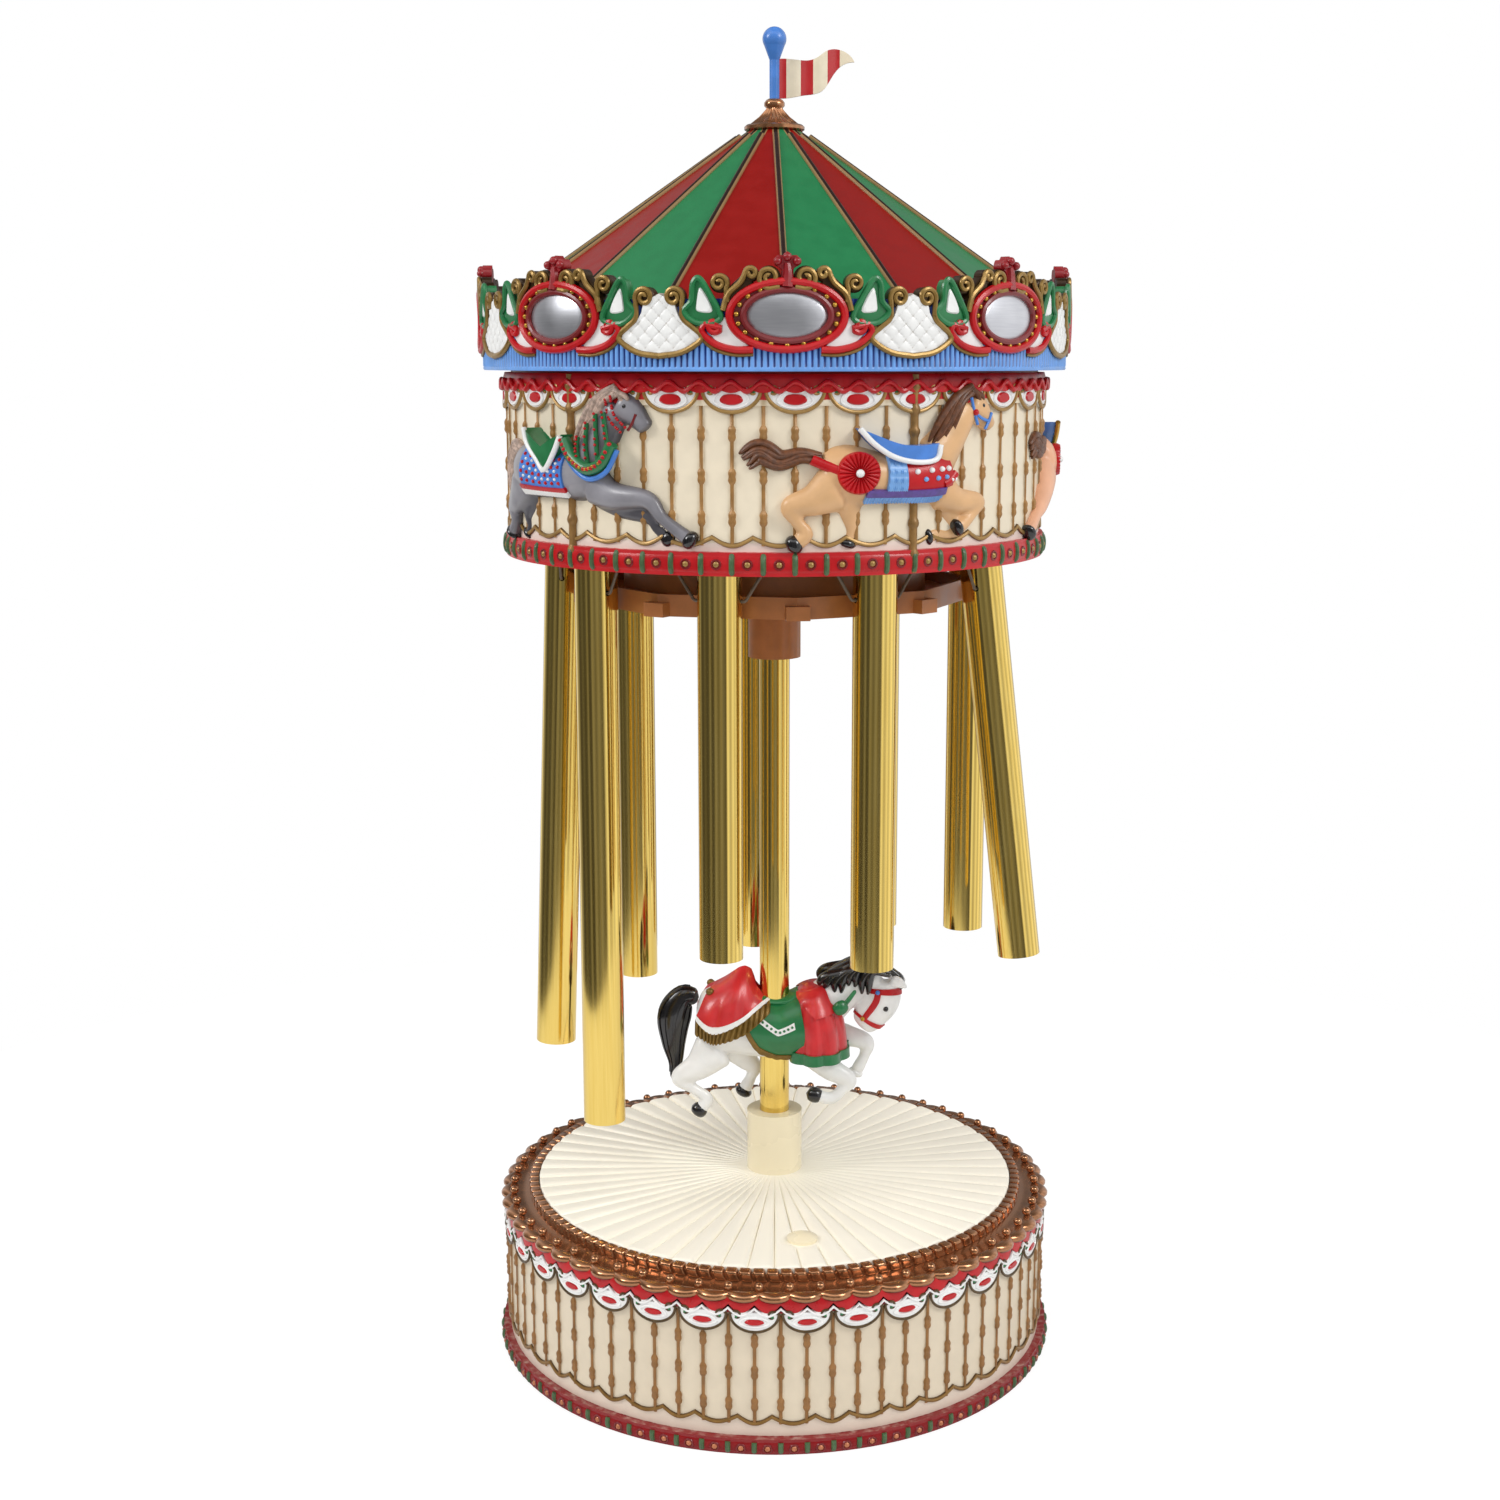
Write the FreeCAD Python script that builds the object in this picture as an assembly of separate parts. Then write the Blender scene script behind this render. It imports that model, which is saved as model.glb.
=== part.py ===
import FreeCAD, Part
import math
import os
from FreeCAD import Vector

# A carousel music box. Nine tuned brass tubes hang below a drum of relief horses, a white horse
# rides the pole between them, and the striped canopy turns on top of the drum.
# Millimetres, +Z up, origin under the middle of the base, front towards -Y.
# Angles are degrees from the front towards +X.

# Clearances
SEAT_FIT = 0.05
RUNNING_FIT = 0.08
THRUST_GAP = 0.1
CORD_GAP = 0.25

# Base
BASE_RADIUS = 81.9
FOOT_PROUD = 2.1
FOOT_HEIGHT = 4.4
BASE_WALL = 2.2
BASE_HEIGHT = 41.0
FLOOR_RECESS = 2.0
FLOOR_THICKNESS = 2.0
BOSS_COUNT = 4
BOSS_RADIUS = 4.0
BOSS_HEIGHT = 16.0
BOSS_FIRST_ANGLE = 45.0

# Screws
SCREW_RADIUS = 1.5
SCREW_LENGTH = 8.0
SCREW_HEAD_RADIUS = 2.8
SCREW_HEAD_HEIGHT = 1.6

# Bronze rim round the deck
RIM_PROUD = 1.6
RIM_WIDTH = 9.5
RIM_HEIGHT = 5.4
RIM_LIP = 1.9
ROPE_WIDTH = 3.0
ROPE_RISE = 3.0
LEDGE_WIDTH = 3.0
LEDGE_THICKNESS = 1.6

# Deck, collar and pole
DECK_EDGE = 4.8
DECK_RISE = 0.2
DECK_DROP = 1.8
DECK_BOSS_DEPTH = 10.0
POLE_SEAT = 2.0
COLLAR_RADIUS = 8.4
COLLAR_HEIGHT = 19.2
POLE_RADIUS = 4.5
POLE_WALL = 0.8

# Start button and circuit board
BUTTON_RADIUS = 4.35
BUTTON_PROUD = 2.0
BUTTON_DOME = 1.2
BUTTON_FLANGE = 1.2
BUTTON_FLANGE_HEIGHT = 1.0
BUTTON_STEM = 1.6
BUTTON_TRAVEL = 1.5
BUTTON_INSET = 18.4
BUTTON_ANGLE = 8.4
BOARD_WIDTH = 40.0
BOARD_DEPTH = 28.0
BOARD_THICKNESS = 1.6
BOARD_DROP = 6.5
BOARD_POST_RADIUS = 2.2
BOARD_POST_INSET = 3.5
CHIP_WIDTH = 9.0
CHIP_DEPTH = 6.0
CHIP_HEIGHT = 1.8
SWITCH_WIDTH = 6.0

# Power inlet at the back
JACK_LEVEL = 18.0
JACK_RADIUS = 3.9
JACK_BORE = 2.8
JACK_PIN_RADIUS = 0.9
JACK_PIN_INSET = 0.9
JACK_WIDTH = 9.0
JACK_DEPTH = 12.0
JACK_BORE_DEPTH = 9.0

# Wiring up the pole
LOOM_RADIUS = 1.2
LOOM_BEND = 6.0
LOOM_DROP = 4.6

# Drum
CLEAR_HEIGHT = 191.2
DRUM_RADIUS = 76.5
DRUM_WALL = 3.0
DRUM_HEIGHT = 43.2
DRUM_FOOT_PROUD = 1.2
DRUM_FOOT_HEIGHT = 6.1
VALANCE_PROUD = 0.7
VALANCE_HEIGHT = 6.0
NECK_INSET = 1.1
NECK_HEIGHT = 3.5
LID_THICKNESS = 3.0
LID_DEPTH = 5.0
LID_LEDGE = 3.0
LID_LEDGE_HEIGHT = 2.0
SOCKET_RADIUS = 8.0
SOCKET_DEPTH = 12.0
SOCKET_ROOF = 2.0

# Chimes, from the longest: semitones above it, and a tube two octaves higher is half as long
SEMITONES = (0, 2, 4, 5, 7, 9, 10, 11, 12)
SEMITONES_TO_HALVE = 24
CHIME_LONGEST = 188.5
CHIME_RADIUS = 6.0
CHIME_WALL = 0.9
CHIME_INSET = 12.5
CHIME_FIRST_ANGLE = 306.2
CHIME_HOLE_DROP = 35.0
LEANS = (0.0, 2.2, 0.0, 0.0, 0.0, 0.0, 7.0, 0.0, 0.0)

# Suspension cords and the pegs that carry them
PEG_LEVEL = 16.2
PEG_RADIUS = 1.1
PEG_BALL = 1.6
CORD_DROP = 24.5
CORD_RADIUS = 0.45
CORD_HOLE = 0.8
CORD_STANDOFF = 1.05
CORD_BEND = 1.2

# Hanger plate under the drum
HANGER_DROP = 13.8
HANGER_GAP = 1.4
HANGER_THICKNESS = 2.2
HANGER_RIM = 3.8
HANGER_RIM_WALL = 1.4
CORNER_BLOCK_WIDTH = 6.5
CORNER_BLOCK_DEPTH = 4.0
CORNER_BLOCK_HEIGHT = 3.8
HUB_RADIUS = 7.7
HUB_LENGTH = 17.7
POST_COUNT = 3
POST_RADIUS = 2.8
POST_RING = 22.0

# Strikers
STRIKE_DROP = 12.0
STRIKE_GAP = 3.25
COIL_RADIUS = 5.0
COIL_LENGTH = 12.0
COIL_SETBACK = 6.7
COIL_PLATE = 11.0
COIL_PLATE_THICKNESS = 1.2
COIL_SEAT_INSET = 1.0
COIL_SEAT_WALL = 4.0
PLUNGER_RADIUS = 2.0
PLUNGER_HEAD_RADIUS = 2.7
PLUNGER_HEAD_LENGTH = 3.0
PLUNGER_STOP_RADIUS = 3.2
PLUNGER_STOP_LENGTH = 1.2
PLUNGER_STROKE = 2.5

# Canopy drive
TOOTH_MODULE = 1.0
GEAR_TEETH = 60
PINION_TEETH = 12
TOOTH_BACKLASH = 0.3
TOOTH_ADDENDUM = 0.9
TOOTH_DEDENDUM = 1.25
PRESSURE_ANGLE = 20.0
GEAR_THICKNESS = 3.0
THRUST_RADIUS = 6.0
THRUST_HEIGHT = 1.5
SPINDLE_RADIUS = 3.0
GEAR_HUB_RADIUS = 8.0
GEAR_HUB_PROUD = 10.0
CARRIER_THICKNESS = 2.0
MOTOR_RADIUS = 10.0
MOTOR_HEIGHT = 17.0
MOTOR_SHAFT_RADIUS = 1.5
MOTOR_SHAFT_DEPTH = 6.0

# Crown of the canopy
CROWN_OVERLAP = 0.9
CROWN_OVERHANG = 6.4
CROWN_WALL = 2.9
CROWN_HEIGHT = 17.8
CROWN_LEDGE = 3.5
CROWN_LEDGE_THICKNESS = 1.5
CARRIER_LEVEL = 7.4
ROOF_LEVEL = 16.3
ORNAMENT_PROUD = 1.4
ORNAMENT_COUNT = 8
ORNAMENT_FIRST_ANGLE = 2.2
FRAME_WIDTH = 30.8
FRAME_HEIGHT = 18.2
FRAME_LEVEL = 13.65
MIRROR_WIDTH = 19.4
MIRROR_HEIGHT = 10.9
MIRROR_THICKNESS = 0.8

# Outlines on the crown: points across and up from the middle of the frame, on its right side
CREST = ((12.5, 3.0), (8.0, 10.6), (3.6, 11.4), (3.6, 14.0), (0.0, 15.4))
CREST_SCROLLS = ((4.6, 9.3, 2.8), (9.6, 8.4, 2.4), (16.8, 8.0, 2.2))
LEAF = ((14.0, 0.0), (20.8, 8.4), (23.2, 8.8), (25.6, 1.0), (22.0, -1.9))
SCROLL_STEM = ((13.2, 2.4), (17.4, 2.2), (18.4, 7.8), (15.2, 7.8))
HORN = ((7.0, -8.3), (13.1, -8.3), (17.6, -6.9), (21.4, -3.0), (19.5, -0.6), (12.0, 0.0))
SHIELD = ((0.0, -9.7), (6.2, -8.6), (11.1, -5.2), (5.1, 0.3), (4.1, 4.7))
SHIELD_SCROLL = (4.1, 4.7, 2.5)

# Roof and finial
ROOF_PANELS = 16
ROOF_RISE = 49.6
ROOF_TOP_RADIUS = 8.0
ROOF_WALL = 2.6
ROOF_TOP_THICKNESS = 2.0
SEAM_RADIUS = 0.9
SEAM_TOP_RADIUS = 10.5
CAP_RADIUS = 8.75
CAP_BRIM = 1.1
CAP_SHOULDER_RADIUS = 4.5
CAP_SHOULDER_HEIGHT = 4.4
CAP_NECK_RADIUS = 2.25
CAP_NECK_HEIGHT = 5.5
CAP_KNOB_RADIUS = 3.4
CAP_KNOB_HEIGHT = 7.4
CAP_HEIGHT = 9.2
STAFF_RADIUS = 1.4
STAFF_DEPTH = 7.0
STAFF_HEIGHT = 10.3
FINIAL_RADIUS = 3.36
FINIAL_NECK_RADIUS = 2.9
FINIAL_HEIGHT = 9.0
FLAG_WAVE = 1.3
FLAG_WAVELENGTH = 15.0
FLAG_THICKNESS = 0.8
FLAG_STEPS = 24

# Edges of the flag, from the staff to its tip: points along, and up from the foot of the finial
FLAG_TOP_EDGE = ((0.0, 0.0), (3.4, 0.5), (7.0, 0.0), (10.0, -0.2), (12.4, 0.8), (14.6, 2.4), (17.2, 3.0),
                 (20.8, 1.6), (22.4, -0.6))
FLAG_BOTTOM_EDGE = ((0.0, -10.2), (4.0, -10.1), (8.0, -9.6), (10.8, -9.4), (13.4, -8.4), (15.4, -5.8),
                    (18.5, -1.7), (22.4, -0.6))

# Horses: each limb is a row of points (along, up, out, radius), joined by tapered rods
HORSE_FIRST_ANGLE = -44.1
HORSE_ORDER = ("leap", "trot", "gallop", "leap", "trot")
HORSE_POLE_RADIUS = 1.5
ROD_TO_BALL = 0.97
TROT_LEGS = (
    ((-25.0, 21.0, 1.0, 4.6), (-33.0, 18.0, 1.0, 2.3), (-29.5, 10.5, 1.0, 1.7), (-32.5, 7.8, 1.0, 2.0)),
    ((-22.0, 19.0, -0.5, 3.6), (-17.5, 13.3, 0.0, 2.0), (-18.0, 8.3, 0.3, 2.1)),
    ((10.0, 21.5, 1.0, 3.8), (21.0, 18.0, 1.0, 2.1), (13.5, 11.5, 1.0, 2.0)),
    ((8.0, 18.5, 0.0, 2.8), (15.5, 10.3, 0.3, 1.9), (5.0, 9.3, 0.5, 2.0)),
    ((-26.0, 30.0, 0.5, 2.2), (-34.0, 30.0, 0.5, 2.6), (-40.0, 31.5, 0.5, 2.4), (-44.0, 29.5, 0.5, 1.5)),
)
LEAP_LEGS = (
    ((-25.0, 19.0, 1.0, 4.4), (-30.0, 14.0, 1.0, 2.2), (-32.0, 8.0, 1.0, 2.1)),
    ((-20.0, 17.5, -0.5, 3.4), (-24.0, 12.0, 0.0, 2.0), (-24.5, 8.0, 0.3, 1.9)),
    ((12.0, 21.0, 1.0, 4.2), (26.0, 19.0, 1.0, 2.6), (37.0, 9.5, 1.0, 2.2)),
    ((18.0, 18.0, -0.5, 2.6), (26.0, 14.5, 0.0, 2.0), (31.0, 9.2, 0.3, 2.1)),
    ((-26.0, 29.0, 0.5, 2.2), (-31.0, 30.5, 0.5, 2.4), (-33.5, 25.0, 0.5, 2.2), (-33.0, 19.0, 0.5, 1.4)),
)
GALLOP_LEGS = (
    ((-25.0, 21.0, 1.0, 4.6), (-36.0, 15.0, 1.0, 2.4), (-46.0, 9.5, 1.0, 2.1)),
    ((-22.0, 19.0, -0.5, 3.6), (-32.0, 12.5, 0.0, 2.0), (-39.0, 8.5, 0.3, 2.0)),
    ((11.0, 21.0, 1.0, 3.8), (21.5, 20.0, 1.0, 2.2), (18.0, 12.0, 1.0, 2.0)),
    ((9.0, 18.5, 0.0, 2.8), (19.0, 14.5, 0.3, 1.9), (12.0, 9.5, 0.5, 2.0)),
    ((-26.0, 30.0, 0.5, 2.2), (-33.0, 33.0, 0.5, 2.6), (-39.0, 30.0, 0.5, 2.3), (-42.0, 24.5, 0.5, 1.4)),
)
RELIEF_TRUNK = (
    ((-20.0, 25.6, -2.6, 7.6), (-7.5, 24.8, -2.6, 6.8), (9.0, 25.2, -2.6, 7.4)),
    ((10.0, 29.0, -1.0, 5.7), (13.5, 36.5, -0.5, 4.4), (18.5, 43.0, 0.0, 3.4)),
    ((19.0, 43.5, 0.5, 3.2), (23.2, 40.5, 1.0, 2.7), (26.0, 37.5, 1.0, 1.9)),
)
RELIEF_LEGS = {"trot": TROT_LEGS, "leap": LEAP_LEGS, "gallop": GALLOP_LEGS}

# The white horse's points are measured from the top of the collar, and out is towards the front
HORSE_SADDLE_BACK = -6.0
HORSE_SADDLE_LENGTH = 14.0
HORSE_SADDLE_RADIUS = 9.8
HORSE_SADDLE_LEVEL = 26.6
CAPE_FORWARD = 12.0
CAPE_TOP = 33.0
CAPE_TOP_RADIUS = 7.6
CAPE_HEM = 15.5
CAPE_HEM_RADIUS = 9.6
WHITE_HORSE = (
    ((-14.0, 29.2, 0.0, 10.2), (0.0, 26.2, 0.0, 9.0), (13.0, 27.0, 0.0, 9.8)),
    ((16.0, 33.0, 0.0, 7.6), (23.0, 39.6, 0.0, 5.8), (31.0, 41.6, 0.0, 4.4)),
    ((33.0, 40.0, 0.0, 4.3), (31.5, 32.5, 0.0, 4.0), (27.5, 26.5, 0.0, 3.0)),
    ((14.0, 38.5, 0.0, 3.2), (20.0, 44.0, 0.0, 3.0), (28.0, 45.2, 0.0, 2.4)),
    ((-24.0, 35.2, 0.0, 2.5), (-30.0, 36.0, 0.0, 3.2), (-33.2, 28.5, 0.0, 3.6), (-32.0, 20.0, 0.0, 2.8),
     (-29.5, 10.8, 0.0, 1.1)),
    ((-17.0, 20.0, 5.0, 6.0), (-28.5, 12.0, 5.0, 2.6), (-20.5, 5.0, 5.0, 2.0), (-23.0, 1.6, 5.0, 2.3)),
    ((-13.0, 18.0, -5.0, 5.0), (-7.6, 12.0, -5.5, 2.5), (-8.4, 6.8, -5.5, 2.0), (-10.2, 4.4, -5.5, 2.3)),
    ((12.0, 18.0, 5.0, 5.0), (23.5, 9.0, 5.0, 2.6), (18.5, 3.4, 5.0, 2.0), (12.0, 4.8, 5.0, 2.3)),
    ((16.0, 20.0, -5.0, 4.5), (29.0, 20.0, -5.0, 2.6), (26.5, 12.5, -5.0, 2.2)),
)

# Levels, worked out from the sizes above
foot_radius = BASE_RADIUS + FOOT_PROUD
rim_radius = BASE_RADIUS + RIM_PROUD
deck_radius = BASE_RADIUS - RIM_WIDTH
button_distance = deck_radius - BUTTON_INSET
floor_top = FLOOR_RECESS + FLOOR_THICKNESS
base_inner = BASE_RADIUS - BASE_WALL
boss_ring = base_inner - BOSS_RADIUS + BASE_WALL / 2
rim_top = BASE_HEIGHT + RIM_HEIGHT
deck_bottom = rim_top - DECK_DROP
deck_edge_top = deck_bottom + DECK_EDGE
deck_top = deck_edge_top + DECK_RISE
pole_bottom = deck_bottom - DECK_BOSS_DEPTH + POLE_SEAT
pole_bore = POLE_RADIUS - POLE_WALL
loom_level = pole_bottom - POLE_SEAT - LOOM_DROP
collar_top = deck_top + COLLAR_HEIGHT
board_top = deck_bottom - BOARD_DROP
drum_bottom = deck_top + CLEAR_HEIGHT
drum_inner = DRUM_RADIUS - DRUM_WALL
drum_foot_radius = DRUM_RADIUS + DRUM_FOOT_PROUD
valance_radius = DRUM_RADIUS + VALANCE_PROUD
neck_radius = DRUM_RADIUS - NECK_INSET
valance_bottom = drum_bottom + DRUM_HEIGHT
neck_bottom = valance_bottom + VALANCE_HEIGHT
neck_top = neck_bottom + NECK_HEIGHT
lid_bottom = neck_top - LID_DEPTH
lid_top = lid_bottom + LID_THICKNESS
pole_top = lid_bottom - SOCKET_ROOF
chime_count = len(SEMITONES)
chime_step = 360.0 / chime_count
half_step = math.radians(chime_step / 2)
chime_ring = drum_inner - CHIME_INSET
peg_level = drum_bottom + PEG_LEVEL
peg_ring = chime_ring / math.cos(half_step)
hole_level = peg_level - CORD_DROP
chime_top = hole_level + CHIME_HOLE_DROP
hanger_radius = (chime_ring - CHIME_RADIUS - HANGER_GAP) / math.cos(half_step)
hanger_bottom = drum_bottom - HANGER_DROP
hanger_top = hanger_bottom + HANGER_THICKNESS
strike_level = peg_level - STRIKE_DROP
coil_seat = strike_level - COIL_PLATE / 2
tip_rest = chime_ring - CHIME_RADIUS - STRIKE_GAP
coil_outer = tip_rest - COIL_SETBACK
coil_inner = coil_outer - COIL_LENGTH
coil_seat_outer = coil_outer - COIL_SEAT_INSET
gear_bottom = lid_top + THRUST_HEIGHT + THRUST_GAP
gear_centres = TOOTH_MODULE * (GEAR_TEETH + PINION_TEETH) / 2
crown_bottom = neck_top - CROWN_OVERLAP
crown_radius = DRUM_RADIUS + CROWN_OVERHANG
crown_inner = crown_radius - CROWN_WALL
crown_face = crown_radius + ORNAMENT_PROUD
frame_level = crown_bottom + FRAME_LEVEL
ornament_back = crown_inner - CROWN_WALL
ornament_reach = crown_face + ORNAMENT_PROUD
mirror_face = crown_face - ORNAMENT_PROUD / 2
mirror_back = mirror_face - MIRROR_THICKNESS
carrier_bottom = crown_bottom + CARRIER_LEVEL
carrier_top = carrier_bottom + CARRIER_THICKNESS
gear_hub_top = carrier_top + GEAR_HUB_PROUD
roof_bottom = crown_bottom + ROOF_LEVEL
roof_radius = crown_inner - SEAT_FIT
roof_top = roof_bottom + ROOF_RISE
cap_top = roof_top + CAP_HEIGHT
staff_top = cap_top + STAFF_HEIGHT

origin = Vector(0, 0, 0)
upward = Vector(0, 0, 1)


def turn(shape, angle):
    """A copy of the shape, turned about the upright axis from the front towards +X."""
    copy = shape.copy()
    copy.rotate(origin, upward, angle)
    return copy


def disc(radius, bottom, top, x=0.0, y=0.0):
    return Part.makeCylinder(radius, top - bottom, Vector(x, y, bottom))


def ring(outer, inner, bottom, top):
    return disc(outer, bottom, top).cut(disc(inner, bottom, top))


def box(x, y, bottom, width, depth, height):
    """A box centred on x and y, standing on the bottom level."""
    return Part.makeBox(width, depth, height, Vector(x - width / 2, y - depth / 2, bottom))


def turned(profile):
    """The closed profile of (radius, level) points, turned about the upright axis."""
    points = [Vector(radius, 0, level) for radius, level in profile]
    face = Part.Face(Part.makePolygon(points + points[:1]))
    return face.revolve(origin, upward, 360)


def rod(start, end, radius):
    run = end.sub(start)
    return Part.makeCylinder(radius, run.Length, start, run)


def radial_rod(inner, outer, level, radius):
    """A rod that points straight out at the front."""
    return rod(Vector(0, -inner, level), Vector(0, -outer, level), radius)


def spread(shape, count, first_angle=0.0):
    return [turn(shape, first_angle + 360.0 * place / count) for place in range(count)]


def join(shapes):
    return shapes[0].multiFuse(shapes[1:]).removeSplitter()


def polygon_wire(corners, radius, level, first_angle):
    angles = [math.radians(first_angle + 360.0 * corner / corners) for corner in range(corners)]
    points = [Vector(radius * math.sin(angle), -radius * math.cos(angle), level) for angle in angles]
    return Part.makePolygon(points + points[:1])


def prism(corners, radius, bottom, top, first_angle):
    face = Part.Face(polygon_wire(corners, radius, bottom, first_angle))
    return face.extrude(Vector(0, 0, top - bottom))


def rounded_tube(points, bend, radius):
    """A round tube along straight runs, with a tangent arc of the bend's radius at each corner."""
    edges = []
    start = points[0]
    for corner, after in zip(points[1:-1], points[2:]):
        back = start.sub(corner).normalize()
        ahead = after.sub(corner).normalize()
        half = back.getAngle(ahead) / 2
        reach = bend / math.tan(half)
        middle = back.add(ahead).normalize().multiply(bend / math.sin(half) - bend)
        arc_start = corner.add(back.multiply(reach))
        arc_end = corner.add(ahead.multiply(reach))
        edges.append(Part.LineSegment(start, arc_start).toShape())
        edges.append(Part.Arc(arc_start, corner.add(middle), arc_end).toShape())
        start = arc_end
    edges.append(Part.LineSegment(start, points[-1]).toShape())
    path = Part.Wire(edges)
    section = Part.Wire(Part.makeCircle(radius, points[0], points[1].sub(points[0])))
    return path.makePipeShell([section], True, False)


def figure(limbs, place):
    """Balls at the points of each limb, joined by tapered rods."""
    solids = []
    for limb in limbs:
        balls = [(place(along, up, out), radius) for along, up, out, radius in limb]
        solids += [Part.makeSphere(radius, point) for point, radius in balls]
        for (start, wide), (end, narrow) in zip(balls, balls[1:]):
            run = end.sub(start)
            taper = (wide * ROD_TO_BALL, narrow * ROD_TO_BALL)
            if math.isclose(wide, narrow):
                solids.append(Part.makeCylinder(taper[0], run.Length, start, run))
            else:
                solids.append(Part.makeCone(taper[0], taper[1], run.Length, start, run))
    return join(solids)


def screw(x, y, seat, up):
    """A screw whose head lies on the seat level and whose shank points up or down from it."""
    direction = Vector(0, 0, 1 if up else -1)
    head_start = Vector(x, y, seat).sub(direction * SCREW_HEAD_HEIGHT)
    head = Part.makeCylinder(SCREW_HEAD_RADIUS, SCREW_HEAD_HEIGHT, head_start, direction)
    shank = Part.makeCylinder(SCREW_RADIUS, SCREW_LENGTH, Vector(x, y, seat), direction)
    return head.fuse(shank).removeSplitter()


def screw_hole(x, y, seat, up):
    direction = Vector(0, 0, 1 if up else -1)
    length = SCREW_LENGTH + 2 * SEAT_FIT
    start = Vector(x, y, seat).sub(direction * SEAT_FIT)
    return Part.makeCylinder(SCREW_RADIUS + SEAT_FIT, length, start, direction)


def ring_places(radius, count, first_angle):
    angles = [math.radians(first_angle + 360.0 * place / count) for place in range(count)]
    return [(radius * math.sin(angle), -radius * math.cos(angle)) for angle in angles]


boss_places = ring_places(boss_ring, BOSS_COUNT, BOSS_FIRST_ANGLE)
post_places = ring_places(POST_RING, POST_COUNT, 0.0)
button_x, button_y = ring_places(button_distance, 1, BUTTON_ANGLE)[0]
board_x = button_x
board_y = button_y + BOARD_DEPTH / 2 - SWITCH_WIDTH


def base_shell():
    shell = turned([
        (foot_radius, 0), (foot_radius, FOOT_HEIGHT), (BASE_RADIUS, FOOT_HEIGHT),
        (BASE_RADIUS, BASE_HEIGHT), (base_inner, BASE_HEIGHT), (base_inner, 0),
    ])
    bosses = [disc(BOSS_RADIUS, floor_top, floor_top + BOSS_HEIGHT, x, y) for x, y in boss_places]
    shell = join([shell] + bosses)
    for x, y in boss_places:
        shell = shell.cut(screw_hole(x, y, FLOOR_RECESS, True))
    inlet_start = Vector(0, base_inner - JACK_DEPTH, JACK_LEVEL)
    inlet_end = Vector(0, foot_radius + JACK_DEPTH, JACK_LEVEL)
    return shell.cut(rod(inlet_start, inlet_end, JACK_RADIUS + SEAT_FIT))


def base_floor():
    floor = disc(base_inner - SEAT_FIT, FLOOR_RECESS, floor_top)
    for x, y in boss_places:
        floor = floor.cut(screw_hole(x, y, FLOOR_RECESS, True))
    return floor


def deck_rim():
    rope_inner = deck_radius + SEAT_FIT
    rope_outer = rope_inner + ROPE_WIDTH
    shell_inner = base_inner - SEAT_FIT
    ledge_inner = rope_inner - LEDGE_WIDTH
    ledge_bottom = deck_bottom - LEDGE_THICKNESS
    return turned([
        (BASE_RADIUS, BASE_HEIGHT), (rim_radius, BASE_HEIGHT + RIM_HEIGHT / 2),
        (rim_radius, rim_top - RIM_LIP / 2), (rim_radius - RIM_LIP, rim_top),
        (rope_outer, rim_top), (rope_outer, rim_top + ROPE_RISE), (rope_inner, rim_top + ROPE_RISE),
        (rope_inner, deck_bottom), (ledge_inner, deck_bottom), (ledge_inner, ledge_bottom),
        (shell_inner, ledge_bottom), (shell_inner, BASE_HEIGHT),
    ])


def deck_height(radius):
    """Level of the sloping deck at a distance from its middle."""
    return deck_edge_top + DECK_RISE * (deck_radius - radius) / (deck_radius - COLLAR_RADIUS)


def deck():
    bore = POLE_RADIUS + SEAT_FIT
    plate = turned([
        (deck_radius, deck_bottom), (deck_radius, deck_edge_top), (COLLAR_RADIUS, deck_top), (bore, deck_top),
        (bore, pole_bottom), (pole_bore, pole_bottom), (pole_bore, pole_bottom - POLE_SEAT),
        (COLLAR_RADIUS, pole_bottom - POLE_SEAT), (COLLAR_RADIUS, deck_bottom),
    ])
    posts = []
    for side in (-1, 1):
        for end in (-1, 1):
            post_x = board_x + side * (BOARD_WIDTH / 2 - BOARD_POST_INSET)
            post_y = board_y + end * (BOARD_DEPTH / 2 - BOARD_POST_INSET)
            posts.append(disc(BOARD_POST_RADIUS, board_top, deck_bottom, post_x, post_y))
    plate = join([plate] + posts)
    return plate.cut(disc(BUTTON_RADIUS + RUNNING_FIT, pole_bottom, deck_top, button_x, button_y))


def pole_collar():
    return ring(COLLAR_RADIUS, POLE_RADIUS + SEAT_FIT, deck_top, collar_top)


def pole():
    return ring(POLE_RADIUS, pole_bore, pole_bottom, pole_top)


def start_button():
    crown = deck_height(button_distance) + BUTTON_PROUD
    shoulder = crown - BUTTON_DOME
    dome_radius = (BUTTON_RADIUS ** 2 + BUTTON_DOME ** 2) / (2 * BUTTON_DOME)
    flange_top = deck_bottom - THRUST_GAP
    flange_bottom = flange_top - BUTTON_FLANGE_HEIGHT
    body = disc(BUTTON_RADIUS, flange_bottom, crown, button_x, button_y)
    dome = Part.makeSphere(dome_radius, Vector(button_x, button_y, crown - dome_radius))
    tall_dome = dome.fuse(disc(BUTTON_RADIUS, flange_bottom, shoulder, button_x, button_y))
    flange = disc(BUTTON_RADIUS + BUTTON_FLANGE, flange_bottom, flange_top, button_x, button_y)
    stem = disc(BUTTON_STEM, flange_bottom - BUTTON_STEM, flange_bottom, button_x, button_y)
    return join([body.common(tall_dome), flange, stem])


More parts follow.
